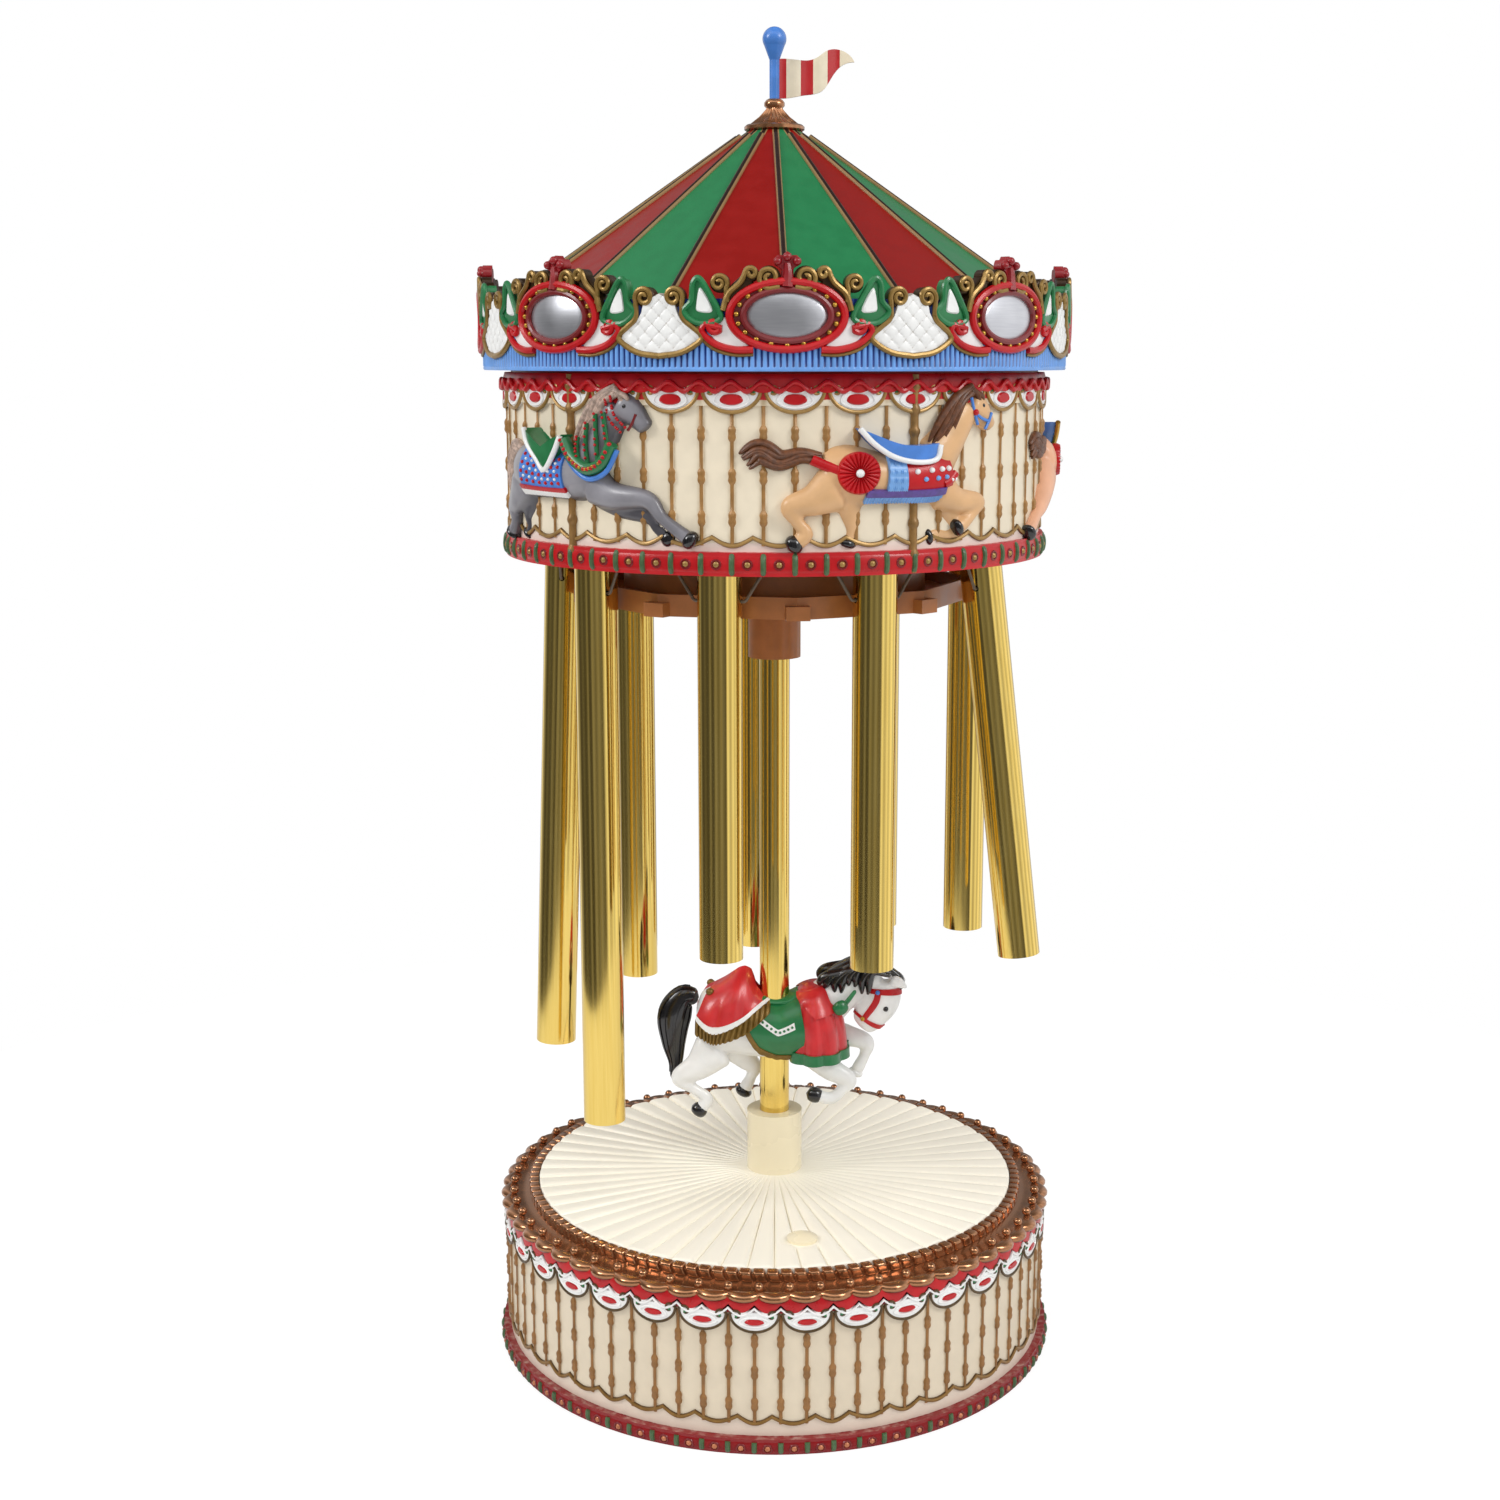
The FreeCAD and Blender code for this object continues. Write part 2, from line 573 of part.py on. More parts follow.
def circuit_board():
    bottom = board_top - BOARD_THICKNESS
    board = box(board_x, board_y, bottom, BOARD_WIDTH, BOARD_DEPTH, BOARD_THICKNESS)
    button_foot = deck_bottom - THRUST_GAP - BUTTON_FLANGE_HEIGHT - BUTTON_STEM
    switch_height = button_foot - BUTTON_TRAVEL - THRUST_GAP - board_top
    switch = box(button_x, button_y, board_top, SWITCH_WIDTH, SWITCH_WIDTH, switch_height)
    chips = []
    for side in (-1, 1):
        chip_x = board_x + side * CHIP_WIDTH
        chips.append(box(chip_x, board_y, bottom - CHIP_HEIGHT, CHIP_WIDTH, CHIP_DEPTH, CHIP_HEIGHT))
    return join([board, switch] + chips)


def dc_jack():
    face = math.sqrt(base_inner ** 2 - (JACK_WIDTH / 2) ** 2)
    body = box(0, face - JACK_DEPTH / 2, JACK_LEVEL - JACK_WIDTH / 2, JACK_WIDTH, JACK_DEPTH, JACK_WIDTH)
    mouth = Vector(0, BASE_RADIUS, JACK_LEVEL)
    barrel = rod(Vector(0, face - JACK_DEPTH, JACK_LEVEL), mouth, JACK_RADIUS)
    bore_end = mouth.sub(Vector(0, JACK_BORE_DEPTH, 0))
    bore = rod(bore_end, mouth, JACK_BORE)
    pin = rod(bore_end, mouth.sub(Vector(0, JACK_PIN_INSET, 0)), JACK_PIN_RADIUS)
    return join([join([body, barrel]).cut(bore), pin])


def wire_loom():
    start = Vector(board_x, board_y, board_top - BOARD_THICKNESS)
    corner = Vector(board_x, board_y, loom_level)
    under_pole = Vector(0, 0, loom_level)
    return rounded_tube([start, corner, under_pole, Vector(0, 0, pole_top)], LOOM_BEND, LOOM_RADIUS)


def drum_envelope():
    """The drum's outside as one solid, for seating the relief on it."""
    return turned([
        (0, drum_bottom), (drum_foot_radius, drum_bottom), (drum_foot_radius, drum_bottom + DRUM_FOOT_HEIGHT),
        (DRUM_RADIUS, drum_bottom + DRUM_FOOT_HEIGHT), (DRUM_RADIUS, valance_bottom),
        (valance_radius, valance_bottom), (valance_radius, neck_bottom), (neck_radius, neck_bottom),
        (neck_radius, neck_top), (0, neck_top),
    ])


def drum_shell():
    ledge_inner = drum_inner - LID_LEDGE
    ledge_bottom = lid_bottom - LID_LEDGE_HEIGHT
    hollow = turned([
        (0, drum_bottom), (drum_inner, drum_bottom), (drum_inner, ledge_bottom - LID_LEDGE),
        (ledge_inner, ledge_bottom), (ledge_inner, lid_bottom), (drum_inner, lid_bottom),
        (drum_inner, neck_top), (0, neck_top),
    ])
    return drum_envelope().cut(hollow)


def drum_lid():
    plate = disc(drum_inner - SEAT_FIT, lid_bottom, lid_top)
    socket = disc(SOCKET_RADIUS, lid_bottom - SOCKET_DEPTH, lid_bottom)
    thrust = disc(THRUST_RADIUS, lid_top, lid_top + THRUST_HEIGHT)
    spindle = disc(SPINDLE_RADIUS, lid_top, gear_hub_top + THRUST_GAP)
    lid = join([plate, socket, thrust, spindle])
    lid = lid.cut(disc(POLE_RADIUS + SEAT_FIT, lid_bottom - SOCKET_DEPTH, pole_top))
    lid = lid.cut(disc(MOTOR_SHAFT_RADIUS + RUNNING_FIT, lid_bottom, lid_top, 0, gear_centres))
    lid = lid.cut(screw_hole(0, 0, gear_hub_top + THRUST_GAP, False))
    for x, y in post_places:
        lid = lid.cut(screw_hole(x, y, lid_top, False))
    return lid


def hanger_plate():
    first_corner = CHIME_FIRST_ANGLE + chime_step / 2
    rim_inner = hanger_radius - HANGER_RIM_WALL / math.cos(half_step)
    tray = prism(chime_count, hanger_radius, hanger_bottom, hanger_top + HANGER_RIM, first_corner)
    tray = tray.cut(prism(chime_count, rim_inner, hanger_top, hanger_top + HANGER_RIM, first_corner))
    block = box(0, -hanger_radius, hanger_bottom, CORNER_BLOCK_WIDTH, CORNER_BLOCK_DEPTH, CORNER_BLOCK_HEIGHT)
    hub = disc(HUB_RADIUS, hanger_bottom - HUB_LENGTH, hanger_bottom)
    seat = ring(coil_seat_outer, coil_seat_outer - COIL_SEAT_WALL, hanger_top, coil_seat)
    plate = join([tray, hub, seat] + spread(block, chime_count, first_corner))
    plate = plate.cut(disc(POLE_RADIUS + SEAT_FIT, hanger_bottom - HUB_LENGTH, hanger_top))
    for x, y in post_places:
        plate = plate.cut(screw_hole(x, y, hanger_bottom, True))
    return plate


def drum_posts():
    posts = []
    for x, y in post_places:
        post = disc(POST_RADIUS, hanger_top, lid_bottom, x, y)
        post = post.cut(screw_hole(x, y, hanger_bottom, True))
        posts.append(post.cut(screw_hole(x, y, lid_top, False)))
    return Part.makeCompound(posts)


def assembly_screws():
    screws = [screw(x, y, FLOOR_RECESS, True) for x, y in boss_places]
    screws += [screw(x, y, hanger_bottom, True) for x, y in post_places]
    screws += [screw(x, y, lid_top, False) for x, y in post_places]
    screws.append(screw(0, 0, gear_hub_top + THRUST_GAP, False))
    return Part.makeCompound(screws)


def cord_pegs():
    inner_wall = disc(drum_inner, drum_bottom, neck_top)
    shank = radial_rod(peg_ring, DRUM_RADIUS, peg_level, PEG_RADIUS)
    ball = Part.makeSphere(PEG_BALL, Vector(0, -peg_ring, peg_level))
    peg = join([shank, ball]).common(inner_wall)
    return Part.makeCompound(spread(peg, chime_count, CHIME_FIRST_ANGLE + chime_step / 2))


def solenoid_coils():
    coil = radial_rod(coil_inner, coil_outer, strike_level, COIL_RADIUS)
    middle = (coil_inner + coil_outer) / 2
    foot = box(0, -middle, coil_seat, COIL_PLATE, COIL_LENGTH, COIL_PLATE_THICKNESS)
    ends = [box(0, -place, coil_seat, COIL_PLATE, COIL_PLATE_THICKNESS, COIL_PLATE)
            for place in (coil_inner + COIL_PLATE_THICKNESS / 2, coil_outer - COIL_PLATE_THICKNESS / 2)]
    solenoid = join([coil, foot] + ends)
    solenoid = solenoid.cut(radial_rod(coil_inner, coil_outer, strike_level, PLUNGER_RADIUS + RUNNING_FIT))
    return Part.makeCompound(spread(solenoid, chime_count, CHIME_FIRST_ANGLE))


def striker():
    stop_inner = coil_inner - PLUNGER_STROKE - PLUNGER_STOP_LENGTH - CORD_GAP
    shaft = radial_rod(stop_inner, tip_rest, strike_level, PLUNGER_RADIUS)
    stop = radial_rod(stop_inner, stop_inner + PLUNGER_STOP_LENGTH, strike_level, PLUNGER_STOP_RADIUS)
    head = radial_rod(tip_rest - PLUNGER_HEAD_LENGTH, tip_rest, strike_level, PLUNGER_HEAD_RADIUS)
    return join([shaft, stop, head])


def chime(semitones):
    """A tube at the front, with the cross hole for its cord a fixed way below its top."""
    length = CHIME_LONGEST * 2 ** (-semitones / SEMITONES_TO_HALVE)
    tube = Part.makeCylinder(CHIME_RADIUS, length, Vector(0, -chime_ring, chime_top - length))
    bore = Part.makeCylinder(CHIME_RADIUS - CHIME_WALL, length, Vector(0, -chime_ring, chime_top - length))
    hole_start = Vector(-CHIME_RADIUS - CHIME_WALL, -chime_ring, hole_level)
    hole_end = Vector(CHIME_RADIUS + CHIME_WALL, -chime_ring, hole_level)
    return tube.cut(bore).cut(rod(hole_start, hole_end, CORD_HOLE))


def chime_cord():
    """The cord of one chime, down from a peg, through the tube and up to the next peg."""
    peg_offset = peg_ring * math.sin(half_step)
    peg = Vector(peg_offset, -chime_ring, peg_level)
    corner = Vector(CHIME_RADIUS + CORD_STANDOFF, -chime_ring, hole_level)
    run = corner.sub(peg).normalize()
    end = peg.add(run * (PEG_BALL + CORD_GAP))
    mirrored = [Vector(-point.x, point.y, point.z) for point in (end, corner)]
    return rounded_tube([mirrored[0], mirrored[1], corner, end], CORD_BEND, CORD_RADIUS)


def hang(shape, place):
    """Puts a chime's piece at its place in the ring, and leans it outwards."""
    hung = shape.copy()
    hung.rotate(Vector(0, -chime_ring, peg_level), Vector(1, 0, 0), -LEANS[place])
    return turn(hung, CHIME_FIRST_ANGLE - chime_step * place)


def involute(radius, base):
    return math.sqrt((radius / base) ** 2 - 1) - math.acos(base / radius)


def gear_prism(teeth, bottom, top, first_angle):
    """A spur gear whose flanks run through three points of the involute."""
    pitch = TOOTH_MODULE * teeth / 2
    base = pitch * math.cos(math.radians(PRESSURE_ANGLE))
    tip = pitch + TOOTH_ADDENDUM * TOOTH_MODULE
    root = pitch - TOOTH_DEDENDUM * TOOTH_MODULE
    thickness = math.pi * TOOTH_MODULE / 2 - TOOTH_BACKLASH
    half_at_base = thickness / (2 * pitch) + involute(pitch, base)
    flank = [(root, max(root, base)), (pitch, pitch), (tip, tip)]
    halves = [(radius, half_at_base - involute(curve, base)) for radius, curve in flank]
    outline = []
    for tooth in range(teeth):
        middle = math.radians(first_angle) + 2 * math.pi * tooth / teeth
        sides = [(radius, middle - half) for radius, half in halves]
        sides += [(radius, middle + half) for radius, half in reversed(halves)]
        for radius, angle in sides:
            outline.append(Vector(radius * math.cos(angle), radius * math.sin(angle), bottom))
    return Part.Face(Part.makePolygon(outline + outline[:1])).extrude(Vector(0, 0, top - bottom))


def canopy_gear():
    gear_top = gear_bottom + GEAR_THICKNESS
    gear = gear_prism(GEAR_TEETH, gear_bottom, gear_top, 90.0 + 180.0 / GEAR_TEETH)
    hub = disc(GEAR_HUB_RADIUS, gear_bottom, gear_hub_top)
    carrier = disc(crown_inner - SEAT_FIT, carrier_bottom, carrier_top)
    wheel = join([gear, hub, carrier])
    return wheel.cut(disc(SPINDLE_RADIUS + RUNNING_FIT, gear_bottom, gear_hub_top))


def drive_pinion():
    gear_top = gear_bottom + GEAR_THICKNESS
    pinion = gear_prism(PINION_TEETH, gear_bottom, gear_top, -90.0)
    pinion.translate(Vector(0, gear_centres, 0))
    return pinion.fuse(disc(MOTOR_SHAFT_RADIUS, lid_bottom - MOTOR_SHAFT_DEPTH, gear_top, 0, gear_centres))


def canopy_motor():
    body = disc(MOTOR_RADIUS, lid_bottom - MOTOR_HEIGHT, lid_bottom, 0, gear_centres)
    shaft_bottom = lid_bottom - MOTOR_SHAFT_DEPTH - THRUST_GAP
    return body.cut(disc(MOTOR_SHAFT_RADIUS + RUNNING_FIT, shaft_bottom, lid_bottom, 0, gear_centres))


def ellipse_plate(width, height, level, back, face):
    """An upright oval plate at the front, between two distances from the axis."""
    oval = Part.Ellipse(Vector(0, 0, 0), width / 2, height / 2).toShape()
    plate = Part.Face(Part.Wire(oval))
    plate.rotate(origin, Vector(1, 0, 0), 90)
    plate.translate(Vector(0, -back, level))
    return plate.extrude(Vector(0, back - face, 0))


def outline_plate(outline, back, face):
    """An upright plate at the front from its outline of (across, level) points."""
    points = [Vector(across, -back, level) for across, level in outline]
    return Part.Face(Part.makePolygon(points + points[:1])).extrude(Vector(0, back - face, 0))


def mirrored(right_side):
    """A closed outline from its right side."""
    left_side = [(-across, up) for across, up in reversed(right_side) if across > 0]
    return list(right_side) + left_side


def raised(outline):
    """A plate in front of the crown from points across and up from the middle of the frame."""
    points = [(across, frame_level + up) for across, up in outline]
    return outline_plate(points, ornament_back, ornament_reach)


def scrolls(places):
    """Round scroll ends on both sides of the middle line."""
    rods = []
    for across, up, radius in places:
        for side in (-1, 1):
            start = Vector(side * across, -ornament_back, frame_level + up)
            rods.append(rod(start, Vector(start.x, -ornament_reach, start.z), radius))
    return rods


def cartouche():
    """Oval mirror frame with a crest, scrolls, leaves and horns, at the front of the crown."""
    frame = ellipse_plate(FRAME_WIDTH, FRAME_HEIGHT, frame_level, ornament_back, ornament_reach)
    plates = [raised(mirrored(CREST))]
    for outline in (SCROLL_STEM, LEAF, HORN):
        plates += [raised([(side * across, up) for across, up in outline]) for side in (-1, 1)]
    return join([frame] + plates + scrolls(CREST_SCROLLS))


def lattice_shield():
    return join([raised(mirrored(SHIELD))] + scrolls([SHIELD_SCROLL]))


def crown_band():
    band_top = crown_bottom + CROWN_HEIGHT
    band = ring(crown_radius, crown_inner, crown_bottom, band_top)
    ledge_inner = crown_inner - CROWN_LEDGE
    ledges = [ring(crown_radius, ledge_inner, seat - CROWN_LEDGE_THICKNESS, seat)
              for seat in (carrier_bottom, roof_bottom)]
    wall = ring(crown_face, crown_inner, crown_bottom, roof_top)
    shield_angle = ORNAMENT_FIRST_ANGLE + 180.0 / ORNAMENT_COUNT
    ornaments = spread(cartouche().common(wall), ORNAMENT_COUNT, ORNAMENT_FIRST_ANGLE)
    ornaments += spread(lattice_shield().common(wall), ORNAMENT_COUNT, shield_angle)
    crown = join([band] + ledges + ornaments)
    recess = ellipse_plate(MIRROR_WIDTH + 2 * SEAT_FIT, MIRROR_HEIGHT + 2 * SEAT_FIT, frame_level,
                           mirror_back, ornament_reach)
    return crown.cut(Part.makeCompound(spread(recess, ORNAMENT_COUNT, ORNAMENT_FIRST_ANGLE)))


def crown_mirrors():
    mirror = ellipse_plate(MIRROR_WIDTH, MIRROR_HEIGHT, frame_level, mirror_back, mirror_face)
    return Part.makeCompound(spread(mirror, ORNAMENT_COUNT, ORNAMENT_FIRST_ANGLE))


def roof_wires(edge, crown, bottom, top):
    return [polygon_wire(ROOF_PANELS, edge, bottom, ORNAMENT_FIRST_ANGLE),
            polygon_wire(ROOF_PANELS, crown, top, ORNAMENT_FIRST_ANGLE)]


def roof_shell():
    slope = (roof_radius - ROOF_TOP_RADIUS) / ROOF_RISE
    ceiling = roof_top - ROOF_TOP_THICKNESS
    ceiling_radius = ROOF_TOP_RADIUS + slope * ROOF_TOP_THICKNESS - ROOF_WALL
    outer_wires = roof_wires(roof_radius, ROOF_TOP_RADIUS, roof_bottom, roof_top)
    inner_wires = roof_wires(roof_radius - ROOF_WALL, ceiling_radius, roof_bottom, ceiling)
    outside = Part.makeLoft(outer_wires, True, True)
    inside = Part.makeLoft(inner_wires, True, True)
    seam_bottom = Vector(0, -roof_radius + slope * SEAM_RADIUS, roof_bottom + SEAM_RADIUS)
    seam_level = roof_top - (SEAM_TOP_RADIUS - ROOF_TOP_RADIUS) / slope
    seam = rod(seam_bottom, Vector(0, -SEAM_TOP_RADIUS, seam_level), SEAM_RADIUS)
    seam = seam.common(disc(crown_inner - SEAT_FIT, roof_bottom, roof_top))
    roof = join([outside.cut(inside)] + spread(seam, ROOF_PANELS, ORNAMENT_FIRST_ANGLE))
    return roof.cut(disc(STAFF_RADIUS + SEAT_FIT, ceiling, roof_top))


def roof_cap():
    bore = STAFF_RADIUS + SEAT_FIT
    return turned([
        (bore, roof_top), (CAP_RADIUS, roof_top), (CAP_RADIUS, roof_top + CAP_BRIM),
        (CAP_SHOULDER_RADIUS, roof_top + CAP_SHOULDER_HEIGHT), (CAP_NECK_RADIUS, roof_top + CAP_NECK_HEIGHT),
        (CAP_KNOB_RADIUS, roof_top + CAP_KNOB_HEIGHT), (CAP_NECK_RADIUS, cap_top), (bore, cap_top),
    ])


def staff_finial():
    staff = disc(STAFF_RADIUS, cap_top - STAFF_DEPTH, staff_top)
    ball_level = staff_top + FINIAL_HEIGHT - FINIAL_RADIUS
    ball = Part.makeSphere(FINIAL_RADIUS, Vector(0, 0, ball_level))
    neck_top_level = ball_level - math.sqrt(FINIAL_RADIUS ** 2 - FINIAL_NECK_RADIUS ** 2)
    neck_height = neck_top_level - staff_top
    neck = Part.makeCone(STAFF_RADIUS, FINIAL_NECK_RADIUS, neck_height, Vector(0, 0, staff_top))
    return join([staff, neck, ball])


def flag():
    """A pennant that waves along its length, cut to a curled point."""
    length = FLAG_TOP_EDGE[-1][0]
    lowest = staff_top + min(up for along, up in FLAG_BOTTOM_EDGE) - FLAG_WAVE
    highest = staff_top + max(up for along, up in FLAG_TOP_EDGE) + FLAG_WAVE
    reach = FLAG_WAVE + FLAG_THICKNESS

    def wave(step, side):
        across = length * step / FLAG_STEPS
        sway = FLAG_WAVE * math.sin(2 * math.pi * across / FLAG_WAVELENGTH)
        return Vector(across, sway + side * FLAG_THICKNESS / 2, lowest)

    def edge(points):
        line = Part.BSplineCurve()
        line.interpolate(points)
        return line.toShape()

    near = edge([wave(step, -1) for step in range(FLAG_STEPS + 1)])
    far = edge([wave(step, 1) for step in range(FLAG_STEPS + 1)])
    ends = [Part.LineSegment(wave(step, -1), wave(step, 1)).toShape() for step in (0, FLAG_STEPS)]
    cloth = Part.Face(Part.Wire([near, ends[1], far, ends[0]])).extrude(Vector(0, 0, highest - lowest))
    top = [Vector(along, -reach, staff_top + up) for along, up in FLAG_TOP_EDGE]
    bottom = [Vector(along, -reach, staff_top + up) for along, up in FLAG_BOTTOM_EDGE]
    hoist = Part.LineSegment(bottom[0], top[0]).toShape()
    outline = Part.Face(Part.Wire([hoist, edge(top), edge(bottom)]))
    pennant = outline.extrude(Vector(0, 2 * reach, 0))
    return cloth.common(pennant).cut(staff_finial())


def relief_horse(gait):
    """A half-round horse on its pole, seated on the drum at the front."""
    def on_drum(along, up, out):
        angle = along / DRUM_RADIUS
        distance = DRUM_RADIUS + out
        return Vector(distance * math.sin(angle), -distance * math.cos(angle), drum_bottom + up)

    horse = figure(RELIEF_TRUNK + RELIEF_LEGS[gait], on_drum)
    staff = disc(HORSE_POLE_RADIUS, drum_bottom + DRUM_FOOT_HEIGHT, valance_bottom, 0, -DRUM_RADIUS)
    return horse.fuse(staff).cut(drum_envelope()).removeSplitter()


def white_horse():
    def beside_pole(along, up, out):
        return Vector(along, -out, collar_top + up)

    horse = figure(WHITE_HORSE, beside_pole)
    saddle = Part.makeCylinder(HORSE_SADDLE_RADIUS, HORSE_SADDLE_LENGTH,
                               beside_pole(HORSE_SADDLE_BACK, HORSE_SADDLE_LEVEL, 0), Vector(1, 0, 0))
    cape = Part.makeCone(CAPE_HEM_RADIUS, CAPE_TOP_RADIUS, CAPE_TOP - CAPE_HEM,
                         beside_pole(CAPE_FORWARD, CAPE_HEM, 0))
    horse = join([horse, saddle, cape])
    return horse.cut(disc(POLE_RADIUS + RUNNING_FIT, collar_top, drum_bottom))


def save(name, shape):
    solids = shape.Solids
    sound = all(solid.isValid() for solid in solids)
    print(name, "solids", len(solids), "volume", round(shape.Volume, 2), "" if sound else "NOT VALID")
    whole = solids[0] if len(solids) == 1 else Part.makeCompound(solids)
    whole.exportStep(os.path.join("parts", name + ".step"))


def main():
    os.makedirs("parts", exist_ok=True)
    single_nodes = (
        base_shell, base_floor, deck_rim, deck, pole_collar, pole, start_button, circuit_board, dc_jack,
        wire_loom, drum_shell, drum_lid, hanger_plate, drum_posts, assembly_screws, cord_pegs, solenoid_coils,
        canopy_gear, drive_pinion, canopy_motor, crown_band, crown_mirrors, roof_shell, roof_cap,
        staff_finial, flag, white_horse,
    )
    for make in single_nodes:
        save(make.__name__, make())
    for place, semitones in enumerate(SEMITONES):
        number = str(place + 1)
        save("chime_" + number, hang(chime(semitones), place))
        save("chime_cord_" + number, hang(chime_cord(), place))
        save("striker_" + number, turn(striker(), CHIME_FIRST_ANGLE - chime_step * place))
    horses = {gait: relief_horse(gait) for gait in RELIEF_LEGS}
    for place, gait in enumerate(HORSE_ORDER):
        angle = HORSE_FIRST_ANGLE + 360.0 * place / len(HORSE_ORDER)
        save("relief_horse_" + str(place + 1), turn(horses[gait], angle))


main()
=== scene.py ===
"""The look of a carousel music box. Lengths in the functions are millimetres, levels count from the floor,
and an angle is counted in degrees from the front, -Y, towards +X."""
import math

import bmesh
import bpy
import numpy as np
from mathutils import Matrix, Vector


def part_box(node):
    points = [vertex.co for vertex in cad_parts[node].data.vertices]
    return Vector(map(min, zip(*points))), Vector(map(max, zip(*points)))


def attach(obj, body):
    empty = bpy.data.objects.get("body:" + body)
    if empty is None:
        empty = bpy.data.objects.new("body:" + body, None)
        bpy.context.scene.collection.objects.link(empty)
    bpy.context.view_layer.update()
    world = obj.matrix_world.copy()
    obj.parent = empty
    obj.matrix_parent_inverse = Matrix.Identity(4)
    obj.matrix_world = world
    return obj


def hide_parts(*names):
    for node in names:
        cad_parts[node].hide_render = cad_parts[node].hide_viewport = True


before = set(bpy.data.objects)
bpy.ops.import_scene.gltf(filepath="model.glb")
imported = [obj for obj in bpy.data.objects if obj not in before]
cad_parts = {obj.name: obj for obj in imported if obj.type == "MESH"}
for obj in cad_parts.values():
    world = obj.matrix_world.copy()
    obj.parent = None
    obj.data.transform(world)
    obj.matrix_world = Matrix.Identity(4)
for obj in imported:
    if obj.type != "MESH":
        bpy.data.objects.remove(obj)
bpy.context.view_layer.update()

MM = 0.001
OUTWARD = np.array([0.0, 0.0, 1.0])
EVEN = (1.0, 1.0, 1.0)

# The walls of the base and the drum: the radius, and the angle of the first rib
BASE_RADIUS = 81.9
BASE_FIRST = 6.2
DRUM_RADIUS = 76.5
DRUM_FIRST = 3.9


# Shapes: each is a pair, points in millimetres and faces of four corners

def grid_faces(rows, columns, closed_rows=False, closed_columns=False):
    """Faces of a grid of points that are numbered row by row. A closed direction joins its last line to its
    first."""
    row = np.arange(rows if closed_rows else rows - 1)[:, None]
    column = np.arange(columns if closed_columns else columns - 1)[None, :]
    next_row = (row + 1) % rows
    next_column = (column + 1) % columns
    corners = np.broadcast_arrays(
        row * columns + column, row * columns + next_column,
        next_row * columns + next_column, next_row * columns + column)
    return np.stack(corners, axis=-1).reshape(-1, 4)


def net(points, closed_rows=False, closed_columns=True):
    """A shape from rows of points, which are closed to rings unless told otherwise."""
    return points.reshape(-1, 3), grid_faces(*points.shape[:2], closed_rows, closed_columns)


def gather(shapes):
    """Joins shapes into one: the points follow each other, and each shape's faces count on from the last."""
    points = []
    faces = []
    start = 0
    for spots, corners in shapes:
        points.append(spots)
        faces.append(corners + start)
        start += len(spots)
    return np.concatenate(points), np.concatenate(faces)


def copies(points, faces):
    """One shape of many alike: the first axis of points counts the copies, which share one list of faces."""
    count, size = points.shape[:2]
    starts = np.arange(count)[:, None, None] * size
    return points.reshape(-1, 3), (faces[None] + starts).reshape(-1, 4)


def round_axis(distance, turn, level):
    """Points at a distance from the axis, at an angle in radians from the front and at a level."""
    spots = np.broadcast_arrays(distance * np.sin(turn), -distance * np.cos(turn), level)
    return np.stack(spots, axis=-1)


def on_wall(shape, angles, radius):
    """A flat shape (across, up, out) bent round the axis at each of the angles.
    The turn is the angle plus across over radius, and the distance from the axis is the radius plus out."""
    flat, faces = shape
    turn = np.radians(np.atleast_1d(angles))[:, None] + flat[None, :, 0] / radius
    return copies(round_axis(radius + flat[None, :, 2], turn, flat[None, :, 1]), faces)


def mirrored(shape):
    """The shape with its reflection in the line across = 0."""
    flat, faces = shape
    return gather([shape, (flat * np.array([-1.0, 1.0, 1.0]), faces)])


def moved(shape, across, up, out=0.0):
    """The shape shifted by across, up and out."""
    return shape[0] + np.array([across, up, out]), shape[1]


def curve(points, steps, closed=False):
    """A smooth line through the points: a Catmull-Rom cubic on each stretch. A closed line ends where it
    starts."""
    points = np.asarray(points, float)
    if closed:
        spread = np.concatenate([points[-1:], points, points[:2]])
    else:
        before = 2 * points[:1] - points[1:2]
        after = 2 * points[-1:] - points[-2:-1]
        spread = np.concatenate([before, points, after])
    t = np.linspace(0.0, 1.0, steps, endpoint=False)[None, :, None]
    a, b, c, d = (spread[k:len(spread) - 3 + k, None] for k in range(4))
    line = 0.5 * (
        2 * b + (c - a) * t + (2 * a - 5 * b + 4 * c - d) * t ** 2 + (3 * b - a - 3 * c + d) * t ** 3)
    line = line.reshape(-1, points.shape[1])
    return line if closed else np.concatenate([line, points[-1:]])


def oval(half_width, half_height, steps=48, first=0.0, last=360.0):
    """Points on an ellipse round (0, 0) between two angles; a whole ellipse leaves out its last point."""
    angle = np.radians(np.linspace(first, last, steps, endpoint=last - first < 360.0))
    return np.stack([half_width * np.cos(angle), half_height * np.sin(angle)], axis=-1)


def spiral(centre, big, small, start, turns, steps=36):
    """A scroll: the radius falls evenly from big to small while the angle goes on from start through the
    turns."""
    t = np.linspace(0.0, 1.0, steps)
    angle = np.radians(start + 360.0 * turns * t)
    radius = big + (small - big) * t
    return np.stack([centre[0] + radius * np.cos(angle), centre[1] + radius * np.sin(angle)], axis=-1)


def scroll(line, steps, *turns):
    """A smooth line that ends in a spiral; turns is what the spiral takes."""
    return np.concatenate([curve(line, steps)[:-1], spiral(*turns)])


